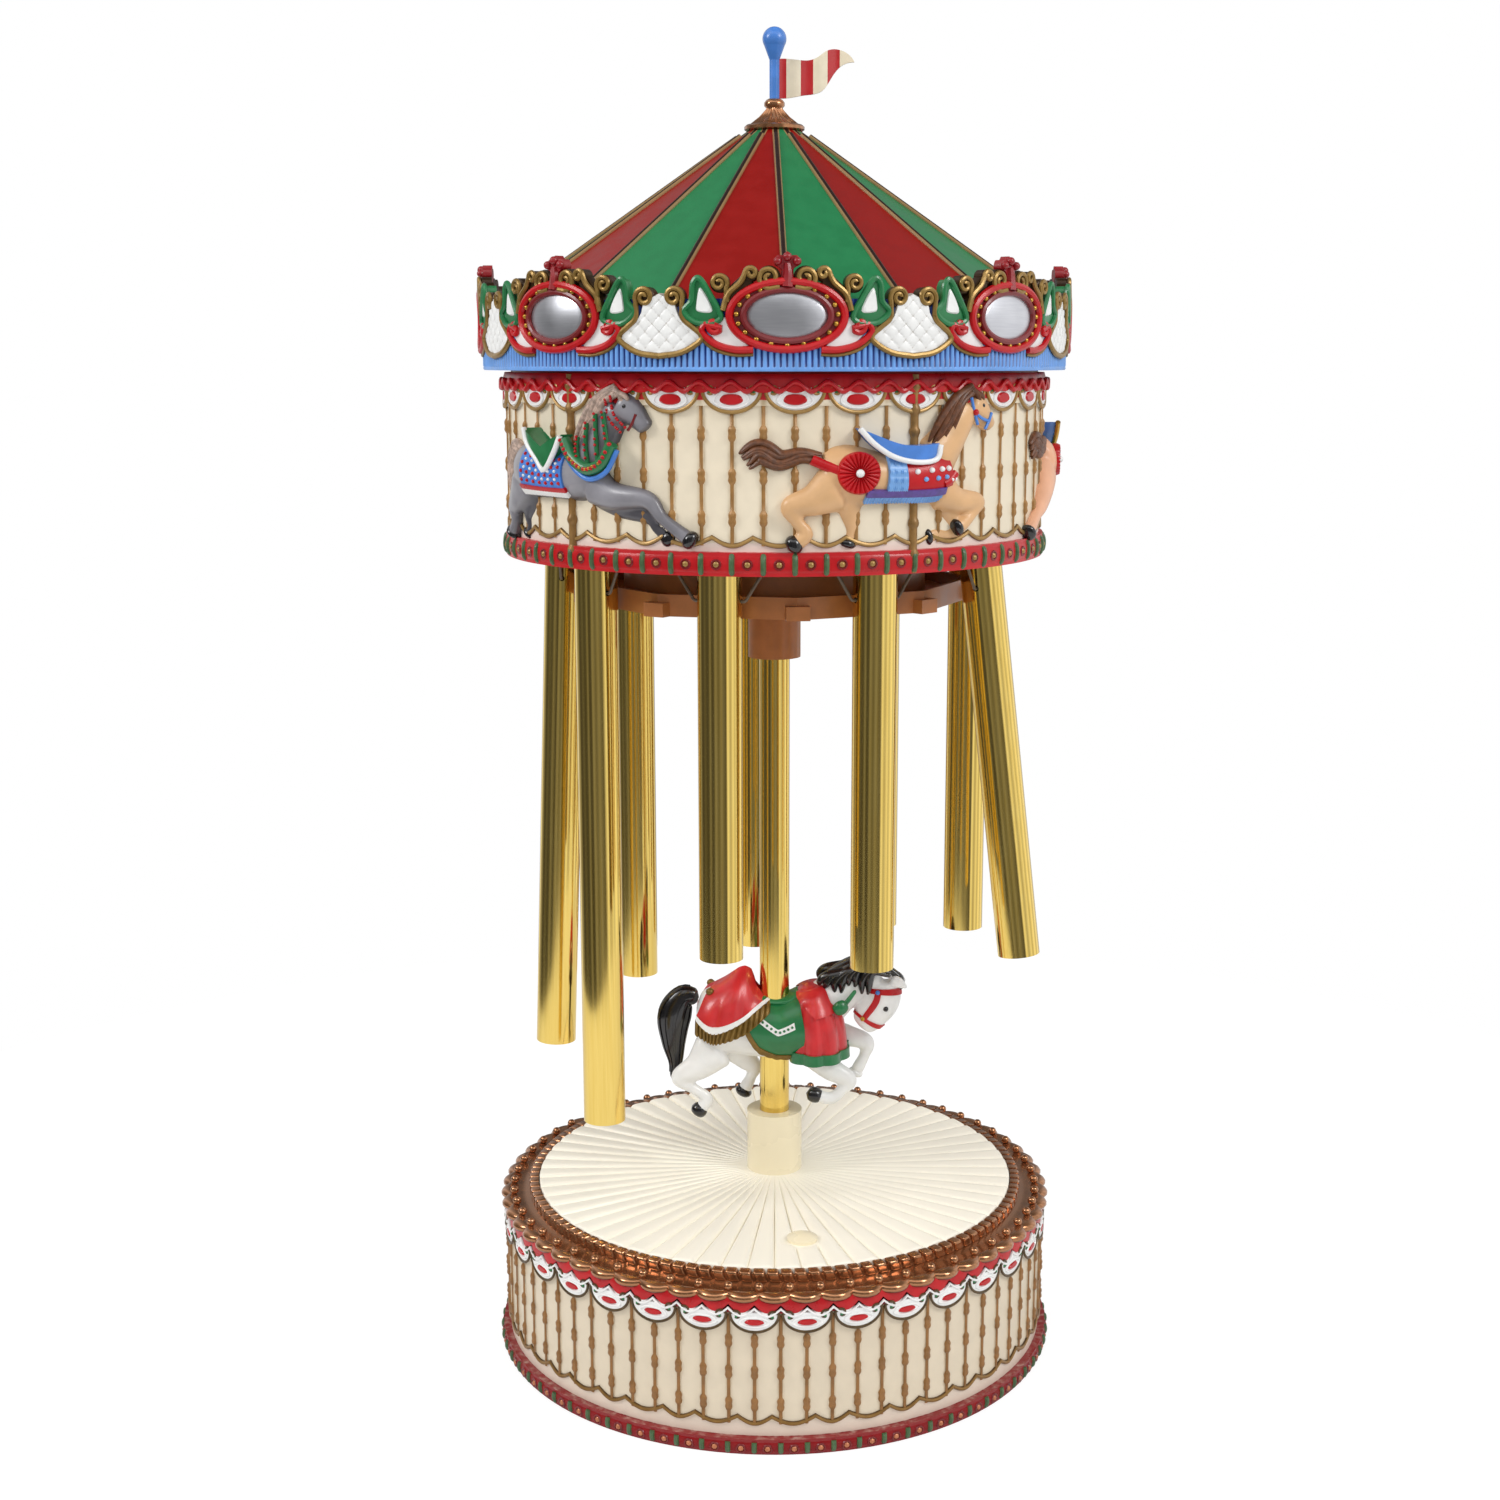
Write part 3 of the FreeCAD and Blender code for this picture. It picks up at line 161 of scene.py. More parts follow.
def bead(path, radius, out=0.0, sides=8, closed=False, swell=1.0):
    """A bar that lies along a flat path: at each point a circle across the path, stretched outward by swell.
    The radius may change along the path. Open ends are capped."""
    path = np.asarray(path, float)
    radius = np.broadcast_to(np.asarray(radius, float), path.shape[:1])
    out = np.broadcast_to(np.asarray(out, float), path.shape[:1])
    if closed:
        along = np.roll(path, -1, axis=0) - np.roll(path, 1, axis=0)
    else:
        along = np.gradient(path, axis=0)
        path, along = (np.concatenate([rows[:1], rows, rows[-1:]]) for rows in (path, along))
        radius = np.concatenate([[0.0], radius, [0.0]])
        out = np.concatenate([out[:1], out, out[-1:]])
    side = np.stack([-along[:, 1], along[:, 0]], axis=-1)
    side /= np.linalg.norm(side, axis=1, keepdims=True) + 1e-9
    around = 2 * math.pi * np.arange(sides) / sides
    spread = radius[:, None] * np.cos(around)
    spots = path[:, None, :] + side[:, None, :] * spread[..., None]
    rise = out[:, None] + swell * radius[:, None] * np.sin(around)
    points = np.concatenate([spots, rise[..., None]], axis=-1)
    return net(points, closed)


def plate(outline, low, high, edge=0.35, rings=4, middle=None, relief=None):
    """A flat piece with a softened rim. Its rings are the outline drawn in towards the middle, at the low
    level underneath and at the high level on the face; relief gives extra height on the face from (across,
    up)."""
    outline = np.asarray(outline, float)
    middle = outline.mean(axis=0) if middle is None else np.asarray(middle, float)
    size = np.linalg.norm(outline - middle, axis=1).mean()
    scale = np.concatenate([np.linspace(0.0, 1.0, 4), [1.0], np.linspace(1.0 - edge / size, 0.0, rings)])
    level = np.concatenate([np.full(4, low), [high - edge], np.full(rings, high)])
    spots = middle + (outline - middle) * scale[:, None, None]
    out = np.broadcast_to(level[:, None], spots.shape[:2]).copy()
    if relief is not None:
        out[-rings:] += relief(spots[-rings:, :, 0], spots[-rings:, :, 1])
    return net(np.concatenate([spots, out[..., None]], axis=-1))


def ball(across, up, radius, out=0.0, swell=1.0, rings=7, sides=10):
    """A bead: circles whose radius is the cosine of a tilt and whose height is its sine, stretched by
    swell."""
    tilt = np.linspace(-0.5 * math.pi, 0.5 * math.pi, rings)[:, None]
    around = 2 * math.pi * np.arange(sides)[None, :] / sides
    spots = np.broadcast_arrays(
        across + radius * np.cos(tilt) * np.cos(around), up + radius * np.cos(tilt) * np.sin(around),
        out + swell * radius * np.sin(tilt))
    return net(np.stack(spots, axis=-1))


def upright(levels):
    """A flat path straight up through the levels."""
    return np.stack([0.0 * levels, levels], axis=-1)


def full_turn(count):
    """Even angles once round the axis, in radians, one to a row."""
    return np.linspace(0.0, 2 * math.pi, count, endpoint=False)[:, None]


def lathe(radius, level, count):
    """A closed profile turned round the axis. Radius and level hold a row for each of the angles, or one for
    all."""
    return net(round_axis(radius, full_turn(count), level), True)


def slab(front, back):
    """A sheet with a thickness: a front grid and a back grid of points, joined along their borders."""
    rows, columns = front.shape[:2]
    numbers = np.arange(rows * columns).reshape(rows, columns)
    border = np.concatenate([numbers[0, :-1], numbers[:-1, -1], numbers[-1, :0:-1], numbers[:0:-1, 0]])
    following = np.roll(border, -1)
    size = rows * columns
    face = grid_faces(rows, columns)
    rim = np.stack([border, following, following + size, border + size], axis=-1)
    points = np.concatenate([front.reshape(-1, 3), back.reshape(-1, 3)])
    return points, np.concatenate([face, face + size, rim])


class Limb:
    """A rounded limb: an ellipse carried along a smooth curve through stations of (along, up, out, half
    height, half width). Its width lies towards out, and its height across both the curve and the width."""

    def __init__(self, *stations):
        self.stations = np.array(stations, float)

    def surface(self, place, around, lift=0.0, shrink=1.0):
        """Points on the limb. Place runs from 0 at the first station by one for each station, around is in
        degrees from the top over the out side, lift stands off the skin, and shrink scales the ellipse."""
        fine = 24
        line = curve(self.stations, fine)
        position = np.asarray(place, float) * fine
        cell = np.clip(np.floor(position).astype(int), 0, len(line) - 2)
        part = (position - cell)[..., None]
        row = line[cell] * (1 - part) + line[cell + 1] * part
        slope = np.gradient(line[:, :3], axis=0)
        forward = slope[cell] * (1 - part) + slope[cell + 1] * part
        forward /= np.linalg.norm(forward, axis=-1, keepdims=True)
        side = OUTWARD - forward * forward[..., 2:]
        side /= np.linalg.norm(side, axis=-1, keepdims=True)
        top = np.cross(side, forward)
        turn = np.radians(np.asarray(around, float))[..., None]
        high = row[..., 3:4] * np.asarray(shrink)[..., None] + lift
        wide = row[..., 4:5] * np.asarray(shrink)[..., None] + lift
        return row[..., :3] + top * high * np.cos(turn) + side * wide * np.sin(turn)

    def closed(self, sides=20, steps=8, ends=0.35):
        """The whole limb, with rounded ends: over the last part of each end station the ellipse shrinks as
        the square root of one less the square of the way to the end."""
        last = len(self.stations) - 1
        inner = np.linspace(ends, last - ends, steps * last)
        cap = np.sin(np.linspace(0.0, 0.5 * math.pi, 6))[:-1]
        place = np.concatenate([ends * cap, inner, last - ends * cap[::-1]])
        left = np.clip((ends - np.minimum(place, last - place)) / ends, 0.0, 1.0)
        shrink = np.sqrt(1.0 - left ** 2)
        around = 360.0 * np.arange(sides) / sides
        return net(self.surface(place[:, None], around[None, :], 0.0, shrink[:, None]))

    def patch(self, first, last, start, end, low=-0.6, high=0.5, rows=24, columns=28, ripple=None):
        """A cloth laid on the limb from place first to last and from angle start to end. Start and end may be
        functions of the share along, first and last of the share around; ripple adds height from both
        shares."""
        share = np.linspace(0.0, 1.0, rows)[:, None]
        wide = np.linspace(0.0, 1.0, columns)[None, :]
        begin, finish = (edge(share) if callable(edge) else edge for edge in (start, end))
        back, front = (edge(wide) if callable(edge) else edge for edge in (first, last))
        place, around = np.broadcast_arrays(back + (front - back) * share, begin + (finish - begin) * wide)
        extra = 0.0 if ripple is None else ripple(share, wide)[..., None]
        return slab(self.surface(place, around, high + extra), self.surface(place, around, low))


def new_mesh(name, shape):
    """A mesh in metres from a shape."""
    mesh = bpy.data.meshes.new(name)
    mesh.from_pydata(shape[0] * MM, [], shape[1])
    return mesh


def put(name, data):
    """A new object in the scene with this mesh, light or camera."""
    made = bpy.data.objects.new(name, data)
    bpy.context.collection.objects.link(made)
    return made


def melt(name, shapes, voxel, rounds):
    """Closed shapes melted into one skin on a grid of voxels, then smoothed for a number of rounds."""
    mesh = new_mesh(name, gather(shapes))
    clay = put(name, mesh)
    remesh = clay.modifiers.new("remesh", "REMESH")
    remesh.mode = "VOXEL"
    remesh.voxel_size = voxel * MM
    smooth = clay.modifiers.new("smooth", "SMOOTH")
    smooth.factor = 0.5
    smooth.iterations = rounds
    done = clay.evaluated_get(bpy.context.evaluated_depsgraph_get())
    skin = done.to_mesh()
    spots = np.empty(3 * len(skin.vertices))
    skin.vertices.foreach_get("co", spots)
    corners = np.empty(len(skin.loops), dtype=int)
    skin.loops.foreach_get("vertex_index", corners)
    done.to_mesh_clear()
    bpy.data.objects.remove(clay)
    bpy.data.meshes.remove(mesh)
    return spots.reshape(-1, 3) / MM, corners.reshape(-1, 4)


def piece(name, body, slot, layers, replaces=(), sharp=38.0):
    """One object from layers, each a shape with its material. Points that meet are joined, faces are turned
    outward, and edges that turn by more than the sharp angle stay crisp."""
    mesh = new_mesh(name, gather([shape for shape, _ in layers]))
    finishes = list(dict.fromkeys(finish for _, finish in layers))
    for finish in finishes:
        mesh.materials.append(finish)
    numbers = [np.full(len(shape[1]), finishes.index(finish)) for shape, finish in layers]
    mesh.polygons.foreach_set("material_index", np.concatenate(numbers))
    work = bmesh.new()
    work.from_mesh(mesh)
    bmesh.ops.remove_doubles(work, verts=work.verts, dist=0.001 * MM)
    bmesh.ops.recalc_face_normals(work, faces=work.faces)
    work.to_mesh(mesh)
    work.free()
    mesh.polygons.foreach_set("use_smooth", np.ones(len(mesh.polygons), dtype=bool))
    mesh.set_sharp_from_angle(angle=math.radians(sharp))
    made = put(name, mesh)
    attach(made, body)
    if replaces:
        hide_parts(*replaces)
    return made


# Materials

def tint(red, green, blue):
    """A colour from screen values of 0 to 255, made linear."""
    share = np.array([red, green, blue]) / 255.0
    linear = np.where(share <= 0.04045, share / 12.92, ((share + 0.055) / 1.055) ** 2.4)
    return (*(float(value) for value in linear), 1.0)


def empty_tree(owner):
    """The node tree of a new material or world, with no nodes in it."""
    owner.use_nodes = True
    owner.node_tree.nodes.clear()
    return owner.node_tree


class Wire:
    """A shader socket that takes part in sums, so that a formula reads as it is written."""

    def __init__(self, tree, socket):
        self.tree = tree
        self.socket = socket

    def node(self, kind, settings=None, inputs=None, output=0):
        """Adds a node of this kind in the same tree. The settings come first, then each input's value or
        link."""
        made = self.tree.nodes.new(kind)
        for name, value in (settings or {}).items():
            setattr(made, name, value)
        for name, value in (inputs or {}).items():
            if isinstance(value, Wire):
                self.tree.links.new(value.socket, made.inputs[name])
            else:
                made.inputs[name].default_value = value
        return Wire(self.tree, made.outputs[output]) if made.outputs else None

    def math(self, operation, *values):
        """A Math node on this value and the others."""
        return self.node("ShaderNodeMath", {"operation": operation}, dict(enumerate((self, *values))))

    def __add__(self, other):
        return self.math("ADD", other)

    __radd__ = __add__

    def __sub__(self, other):
        return self.math("SUBTRACT", other)

    def __rsub__(self, other):
        return (self * -1.0) + other

    def __mul__(self, other):
        return self.math("MULTIPLY", other)

    __rmul__ = __mul__

    def __truediv__(self, other):
        return self.math("DIVIDE", other)

    def slope(self, low, high):
        """0 up to low, 1 from high on, and a smooth rise between them."""
        settings = {"interpolation_type": "SMOOTHSTEP"}
        return self.node("ShaderNodeMapRange", settings, {"Value": self, "From Min": low, "From Max": high})

    def blend(self, first, second):
        """The first colour where this is 0 and the second where it is 1."""
        return self.node(
            "ShaderNodeMix", {"data_type": "RGBA"}, {"Factor": self, 6: first, 7: second}, output=2)

    def noise(self, size, detail=3.0, stretch=EVEN):
        """Clouds about size millimetres across, where this is the place, longer along an axis with less
        stretch."""
        scale = tuple(1.0 / MM / size * share for share in stretch)
        place = self.node("ShaderNodeVectorMath", {"operation": "MULTIPLY"}, {0: self, 1: scale})
        return place.node("ShaderNodeTexNoise", {}, {"Vector": place, "Scale": 1.0, "Detail": detail})

    def axis(self, name):
        """One part of this place, in millimetres."""
        return self.node("ShaderNodeSeparateXYZ", {}, {0: self}, output="XYZ".index(name)) * (1.0 / MM)

    def bearing(self):
        """The angle of this place round the axis, in degrees from the front."""
        turn = self.axis("X").math("ARCTAN2", self.axis("Y") * -1.0)
        return turn * (180.0 / math.pi)

    def distance(self):
        """The distance of this place from the axis, in millimetres."""
        return (self.axis("X").math("POWER", 2.0) + self.axis("Y").math("POWER", 2.0)).math("SQRT")


def material(name, colour, roughness, metallic=0.0, coat=0.0, bump=0.02, mottle=5.0, dull=0.82,
             stretch=EVEN, grain=0.6, specular=0.5):
    """A painted or moulded finish. The colour is a tint, or a function from the place to a colour; broad
    clouds dull it, the same clouds move the roughness by a tenth, and fine grain stands up from the
    surface."""
    made = bpy.data.materials.new(name)
    tree = empty_tree(made)
    place = Wire(tree, tree.nodes.new("ShaderNodeTexCoord").outputs["Object"])
    base = colour(place) if callable(colour) else colour
    cloud = place.noise(mottle, 4.0, stretch).slope(0.3, 0.7)
    fine = place.noise(grain, 2.0, stretch)
    shaded = place.node(
        "ShaderNodeMix", {"data_type": "RGBA", "blend_type": "MULTIPLY"},
        {"Factor": 1.0, 6: base, 7: (dull, dull, dull, 1.0)}, output=2)
    raised = place.node("ShaderNodeBump", {}, {"Strength": 0.6, "Distance": bump * MM, "Height": fine})
    surface = place.node("ShaderNodeBsdfPrincipled", {}, {
        "Base Color": cloud.blend(shaded, base), "Roughness": cloud * 0.1 + (roughness - 0.05),
        "Metallic": metallic, "Specular IOR Level": specular, "Coat Weight": coat, "Coat Roughness": 0.12,
        "Normal": raised})
    place.node("ShaderNodeOutputMaterial", {}, {"Surface": surface})
    return made


def wall_colour(first, pitch, strip, cream, red, paints):
    """A wall by its level: the foot tint up to the strip level, the strip tint, the wall tint, and red above
    the red level. The wall has painted shade, a brown tint that deepens towards each rib and is broken up by
    clouds; the ribs start at the first angle, a pitch apart."""
    foot, pale, wall = paints

    def colour(place):
        """The colour at a place."""
        level = place.axis("Z") + place.noise(2.0) * 0.25
        near_rib = (((place.bearing() - first) / pitch).math("FRACT") - 0.5).math("ABSOLUTE")
        # Painted shade: the wall darkens to brown next to each rib
        rib_shaded = (near_rib.slope(0.3, 0.5) * place.noise(4.0).slope(0.25, 0.7)).blend(wall, RIB_SHADE)
        lower = level.slope(strip, strip + 0.2).blend(foot, pale)
        walled = level.slope(cream, cream + 0.2).blend(lower, rib_shaded)
        return level.slope(red, red + 0.2).blend(walled, RED)
    return colour


def grooved(ridge, groove, low, high):
    """Raised work by its distance from the axis: the groove tint up to low, the ridge tint from high on. On
    the canes these are the two tints of their paint; elsewhere the groove tint is painted shade and the ridge
    tint painted highlight.
    """
    def colour(place):
        """The colour at a place."""
        return place.distance().slope(low, high).blend(groove, ridge)
    return colour


def roof_colour(place):
    """Panels of red and green by turns; the colour changes at each seam, and a seam is dark with gold
    edges."""
    turn = (place.bearing() - ROOF_SEAM) / ROOF_PITCH
    panel = turn.math("FLOOR").math("FLOORED_MODULO", 2.0)
    across = turn.math("FRACT") - 0.5
    from_seam = (0.5 - across.math("ABSOLUTE")) * place.distance() * math.radians(ROOF_PITCH)
    paint = panel.blend(ROOF_GREEN, ROOF_RED)
    edged = from_seam.slope(0.85, 1.0).blend(SEAM_GOLD, paint)
    return from_seam.slope(0.5, 0.62).blend(SEAM_DARK, edged)


def shaded_bronze(place):
    """Bronze with painted shade: darker below a level, in the hollow under the lip of the rim."""
    return place.axis("Z").slope(44.0, 45.1).blend(BRONZE_SHADE, BRONZE)


def striped(first, second, period, share, start):
    """Stripes of two tints by the place along X: each period, counted from the start, begins with its share
    of the first tint."""
    def colour(place):
        """The colour at a place."""
        way = ((place.axis("X") - start) / period).math("FRACT")
        return way.slope(share, share + 0.02).blend(first, second)
    return colour


def brushed(colour, dark, stretch):
    """A metal with fine lines along one direction: noise stretched that way goes from the dark tint to the
    colour."""
    def lines(place):
        """The colour at a place."""
        return place.noise(0.5, 4.0, stretch).slope(0.25, 0.75).blend(dark, colour)
    return lines


ROOF_SEAM = 2.2
ROOF_PITCH = 22.5
RED = tint(190, 16, 24)
GREEN = tint(30, 118, 66)
ROOF_RED = tint(142, 14, 8)
ROOF_GREEN = tint(36, 122, 74)
SEAM_DARK = tint(44, 30, 26)
SEAM_GOLD = tint(150, 120, 80)
CREAM = tint(250, 245, 230)
CREAM_WALL = tint(236, 223, 198)
# The cream wall darkened for the base: painted shade
SHADED_BASE_WALL = tint(220, 206, 182)
# Brown of the painted shade next to the wall ribs
RIB_SHADE = tint(192, 170, 134)
PINK = tint(236, 216, 204)
BEIGE = tint(222, 205, 188)
FOOT_RED = tint(136, 8, 14)
WHITE = tint(240, 240, 238)
BLUE = tint(72, 132, 216)
BLACK = tint(20, 18, 20)
OLD_GOLD = tint(134, 104, 46)
BAMBOO = tint(160, 120, 66)
CANE = tint(166, 122, 68)
BRONZE = tint(176, 122, 82)
# Painted shade under the lip of the rim
BRONZE_SHADE = tint(104, 62, 36)
TUBE_LINES = (1.0, 1.0, 0.02)

red_paint = material("red_paint", RED, 0.32, coat=0.15, specular=0.35)
dark_red_paint = material("dark_red_paint", tint(120, 18, 22), 0.4, coat=0.3)
crest_red = material("crest_red", tint(148, 22, 30), 0.36, coat=0.2)
foot_red = material("foot_red", FOOT_RED, 0.32, specular=0.3)
# The capes' red, lighter and pinker than the red paint: their own red with painted sheen
cape_red = material("cape_red", tint(208, 40, 44), 0.34, coat=0.25)
green_paint = material("green_paint", GREEN, 0.36, coat=0.3)
bar_green = material("bar_green", tint(74, 104, 66), 0.4, dull=0.7, mottle=1.5)
white_paint = material("white_paint", WHITE, 0.35, coat=0.3, dull=0.93)
blue_paint = material("blue_paint", BLUE, 0.36, coat=0.3)
pale_blue_paint = material("pale_blue_paint", tint(120, 172, 232), 0.38, coat=0.2)
# Painted shade in the grooves of the blue band and the quilt, with lighter raised parts
ribbed_blue = material(
    "ribbed_blue", grooved(tint(112, 166, 236), tint(30, 62, 140), 82.6, 83.0), 0.4, coat=0.15)
quilted_white = material(
    "quilted_white", grooved(WHITE, tint(176, 168, 156), 83.08, 83.34), 0.4, coat=0.2, dull=0.94)
black_paint = material("black_paint", BLACK, 0.22, coat=0.5)
gold_paint = material("gold_paint", OLD_GOLD, 0.36, metallic=0.4, dull=0.7, mottle=2.0)
dark_gold = material("dark_gold", tint(92, 72, 44), 0.4, metallic=0.3, dull=0.7, mottle=2.0)
# The golds of the crown, base and drum: painted shade in the hollows and painted highlight on the raised work
crown_gold = material(
    "crown_gold", grooved(tint(152, 120, 62), tint(60, 40, 20), 82.9, 84.0), 0.32, metallic=0.45, mottle=2.0)
base_gold = material(
    "base_gold", grooved(tint(146, 110, 56), tint(84, 58, 28), 82.1, 82.7), 0.36, metallic=0.35, mottle=2.0)
drum_gold = material(
    "drum_gold", grooved(tint(166, 130, 72), tint(92, 66, 34), 76.7, 77.3), 0.36, metallic=0.35, mottle=2.0)
base_cane = material(
    "base_cane", grooved(tint(150, 106, 58), SHADED_BASE_WALL, 82.0, 82.2), 0.4, metallic=0.15, dull=0.75,
    mottle=3.0)
drum_cane = material(
    "drum_cane", grooved(CANE, CREAM_WALL, 76.6, 76.8), 0.4, metallic=0.15, dull=0.75, mottle=3.0)
bamboo_paint = material("bamboo_paint", BAMBOO, 0.42, metallic=0.25, dull=0.66, mottle=3.0)
bright_gold = material("bright_gold", tint(206, 160, 66), 0.3, metallic=0.7, dull=0.75)
bronze_paint = material(
    "bronze_paint", shaded_bronze, 0.2, metallic=0.8, coat=0.45, dull=0.86, mottle=8.0, bump=0.003)
roof_paint = material("roof_paint", roof_colour, 0.36, dull=0.9, specular=0.2)
flag_paint = material(
    "flag_paint", striped(RED, tint(240, 228, 200), 7.5, 0.45, -0.1), 0.4, coat=0.2, dull=0.9)
base_walling = wall_colour(
    BASE_FIRST, pitch=5.0, strip=4.5, cream=8.8, red=40.6, paints=(FOOT_RED, BEIGE, SHADED_BASE_WALL))
base_paint = material("base_paint", base_walling, 0.42, coat=0.15, dull=0.95)
drum_walling = wall_colour(
    DRUM_FIRST, pitch=6.0, strip=247.0, cream=249.3, red=285.5, paints=(RED, PINK, CREAM_WALL))
drum_paint = material("drum_paint", drum_walling, 0.42, coat=0.15, dull=0.95)
brass = material(
    "brass", brushed(tint(242, 212, 122), tint(234, 200, 106), TUBE_LINES), 0.13, metallic=1.0, dull=0.96,
    bump=0.003, grain=0.3, stretch=TUBE_LINES)
silver = material(
    "silver", brushed(tint(216, 217, 222), tint(206, 207, 213), (0.06, 0.06, 1.0)), 0.36, metallic=0.9,
    dull=0.97, bump=0.002, mottle=12.0)
# A brown made lighter to make up for the shade under the drum: painted light on the lid, hanger plate and
# pegs
brown_plastic = material("brown_plastic", tint(178, 112, 60), 0.38, coat=0.1, dull=0.85)
cream_plastic = material("cream_plastic", CREAM, 0.38, dull=0.98, mottle=24.0, bump=0.005)
ivory_plastic = material(
    "ivory_plastic", tint(240, 228, 196), 0.26, coat=0.5, dull=0.97, mottle=24.0, bump=0.005)
stud_copper = material("stud_copper", tint(196, 122, 84), 0.34, metallic=0.3, dull=0.75, mottle=1.5)
black_plastic = material("black_plastic", tint(32, 32, 34), 0.5, grain=0.4, bump=0.05)
board_green = material("board_green", tint(24, 88, 52), 0.4, coat=0.2)
steel = material(
    "steel", brushed(tint(200, 202, 206), tint(150, 152, 158), (1.0, 1.0, 0.1)), 0.3, metallic=1.0)
copper = material(
    "copper", brushed(tint(190, 104, 62), tint(130, 62, 34), (1.0, 1.0, 0.3)), 0.35, metallic=0.9)
nylon_white = material("nylon_white", tint(232, 230, 222), 0.5, dull=0.92)
nylon_cord = material("nylon_cord", tint(104, 88, 70), 0.4, grain=0.2, bump=0.05, dull=0.8)
wire_rubber = material("wire_rubber", tint(40, 38, 42), 0.5)
# The grey horse: painted shade in the recesses of the relief and painted highlight on its raised parts
grey_coat = material(
    "grey_coat", grooved(tint(150, 148, 154), tint(76, 74, 80), 77.0, 81.0), 0.36, coat=0.3, dull=0.8,
    mottle=7.0)
tan_coat, peach_coat, chestnut_coat, ivory_coat = (
    material(f"{name}_coat", shade, 0.42, coat=0.2, dull=dull, mottle=8.0) for name, shade, dull in (
        ("tan", tint(222, 176, 126), 0.86), ("peach", tint(236, 178, 142), 0.88),
        ("chestnut", tint(134, 74, 42), 0.78), ("ivory", tint(238, 226, 200), 0.9)))
brown_hair = material("brown_hair", tint(112, 66, 36), 0.42, dull=0.55, mottle=1.2)
silver_hair = material("silver_hair", tint(204, 178, 162), 0.42, dull=0.5, mottle=1.2)
purple_paint = material("purple_paint", tint(92, 66, 150), 0.4, coat=0.2, mottle=1.2, dull=0.7)

# The solids that show as they are, each with its finish
KEPT = {
    "base_shell": base_paint, "base_floor": black_plastic, "pole_collar": ivory_plastic, "pole": brass,
    "circuit_board": board_green, "dc_jack": black_plastic, "wire_loom": wire_rubber,
    "drum_shell": drum_paint, "drum_lid": brown_plastic, "hanger_plate": brown_plastic, "drum_posts": steel,
    "assembly_screws": steel, "cord_pegs": brown_plastic, "solenoid_coils": copper, "canopy_motor": steel,
    "roof_shell": roof_paint, "canopy_gear": nylon_white, "drive_pinion": nylon_white,
    "staff_finial": blue_paint, "flag": flag_paint, "start_button": ivory_plastic,
}
CHIMES = 9
for number in range(1, CHIMES + 1):
    KEPT[f"chime_{number}"] = brass
    KEPT[f"chime_cord_{number}"] = nylon_cord
    KEPT[f"striker_{number}"] = nylon_white
for name, finish in KEPT.items():
    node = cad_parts[name]
    node.data.materials.clear()
    node.data.materials.append(finish)


# The ornament that the base and the drum share

def bamboo_rib(low, high, knots):
    """A slim cane that stands on the wall. Each knot is a thicker stretch, most near its two ends."""
    slim = 0.56
    step = np.array([-2.1, -1.8, -1.45, -1.0, -0.5, 0.0, 0.5, 1.0, 1.45, 1.8, 2.1])
    size = np.array([slim, 0.76, 0.98, 1.12, 1.06, 0.96, 1.06, 1.12, 0.98, 0.76, slim])
    level = np.concatenate([[low], *(knot + step for knot in sorted(knots)), [high]])
    radius = np.concatenate([[slim], np.tile(size, len(knots)), [slim]])
    return bead(upright(level), radius, 0.05)


def scallop(width, depth, line, tall):
    """The parts of one scallop that hangs from (0, 0): a white shell with a raised ring round the middle, a
    border of this line's radius with a scroll at each upper corner, green dots inside the scrolls, and a red
    jewel of this half height."""
    half = 0.5 * width
    lower = oval(half, depth, 25, 180.0, 360.0)
    roof = np.stack([np.linspace(half, -half, 9)[1:-1], np.full(7, 0.5)], axis=-1)
    shell = plate(np.concatenate([lower, roof]), -1.0, 0.55, rings=5)
    curl = 1.75
    corner = spiral((half - curl, -0.55), curl, 0.45, 0.0, 0.85, 14)
    rim = np.concatenate([oval(half, depth, 14, 270.0, 360.0), corner[1:]])
    border = mirrored(bead(rim, np.linspace(1.0, 0.75, len(rim)) * line, 0.55))
    dots = mirrored(ball(half - curl, -0.75, 0.45, 0.6))
    wide = 0.2 * width
    gem = curve([(-wide, -0.2 * tall), (-0.6 * wide, tall), (0.6 * wide, tall), (wide, -0.2 * tall),
                 (0.45 * wide, -tall), (-0.45 * wide, -tall)], 4, True)
    jewel = plate(gem, 0.0, 1.0, edge=0.4)
    ring = bead(1.5 * gem, 0.32, 0.6, 6, True)
    middle = -0.46 * depth
    return gather([shell, moved(ring, 0.0, middle)]), border, dots, moved(jewel, 0.0, middle)


def wall_bar(turn, level, radius, size):
    """A bar all round the wall through points of turn, in degrees, and level: at each a circle of this
    size."""
    side = np.arange(8) * 0.25 * math.pi
    distance = radius + size * np.sin(side)[None, :]
    up = level[:, None] + size * np.cos(side)[None, :]
    return net(round_axis(distance, np.radians(turn)[:, None], up), True)


def wave(count, first, level, height, radius, size):
    """A wavy bar round the wall, count waves to the turn, highest at the first angle: the rise is a
    cosine."""
    share = np.arange(count * 16) / 16.0
    return wall_bar(first + share * 360.0 / count, level + height * np.cos(2 * math.pi * share), radius, size)


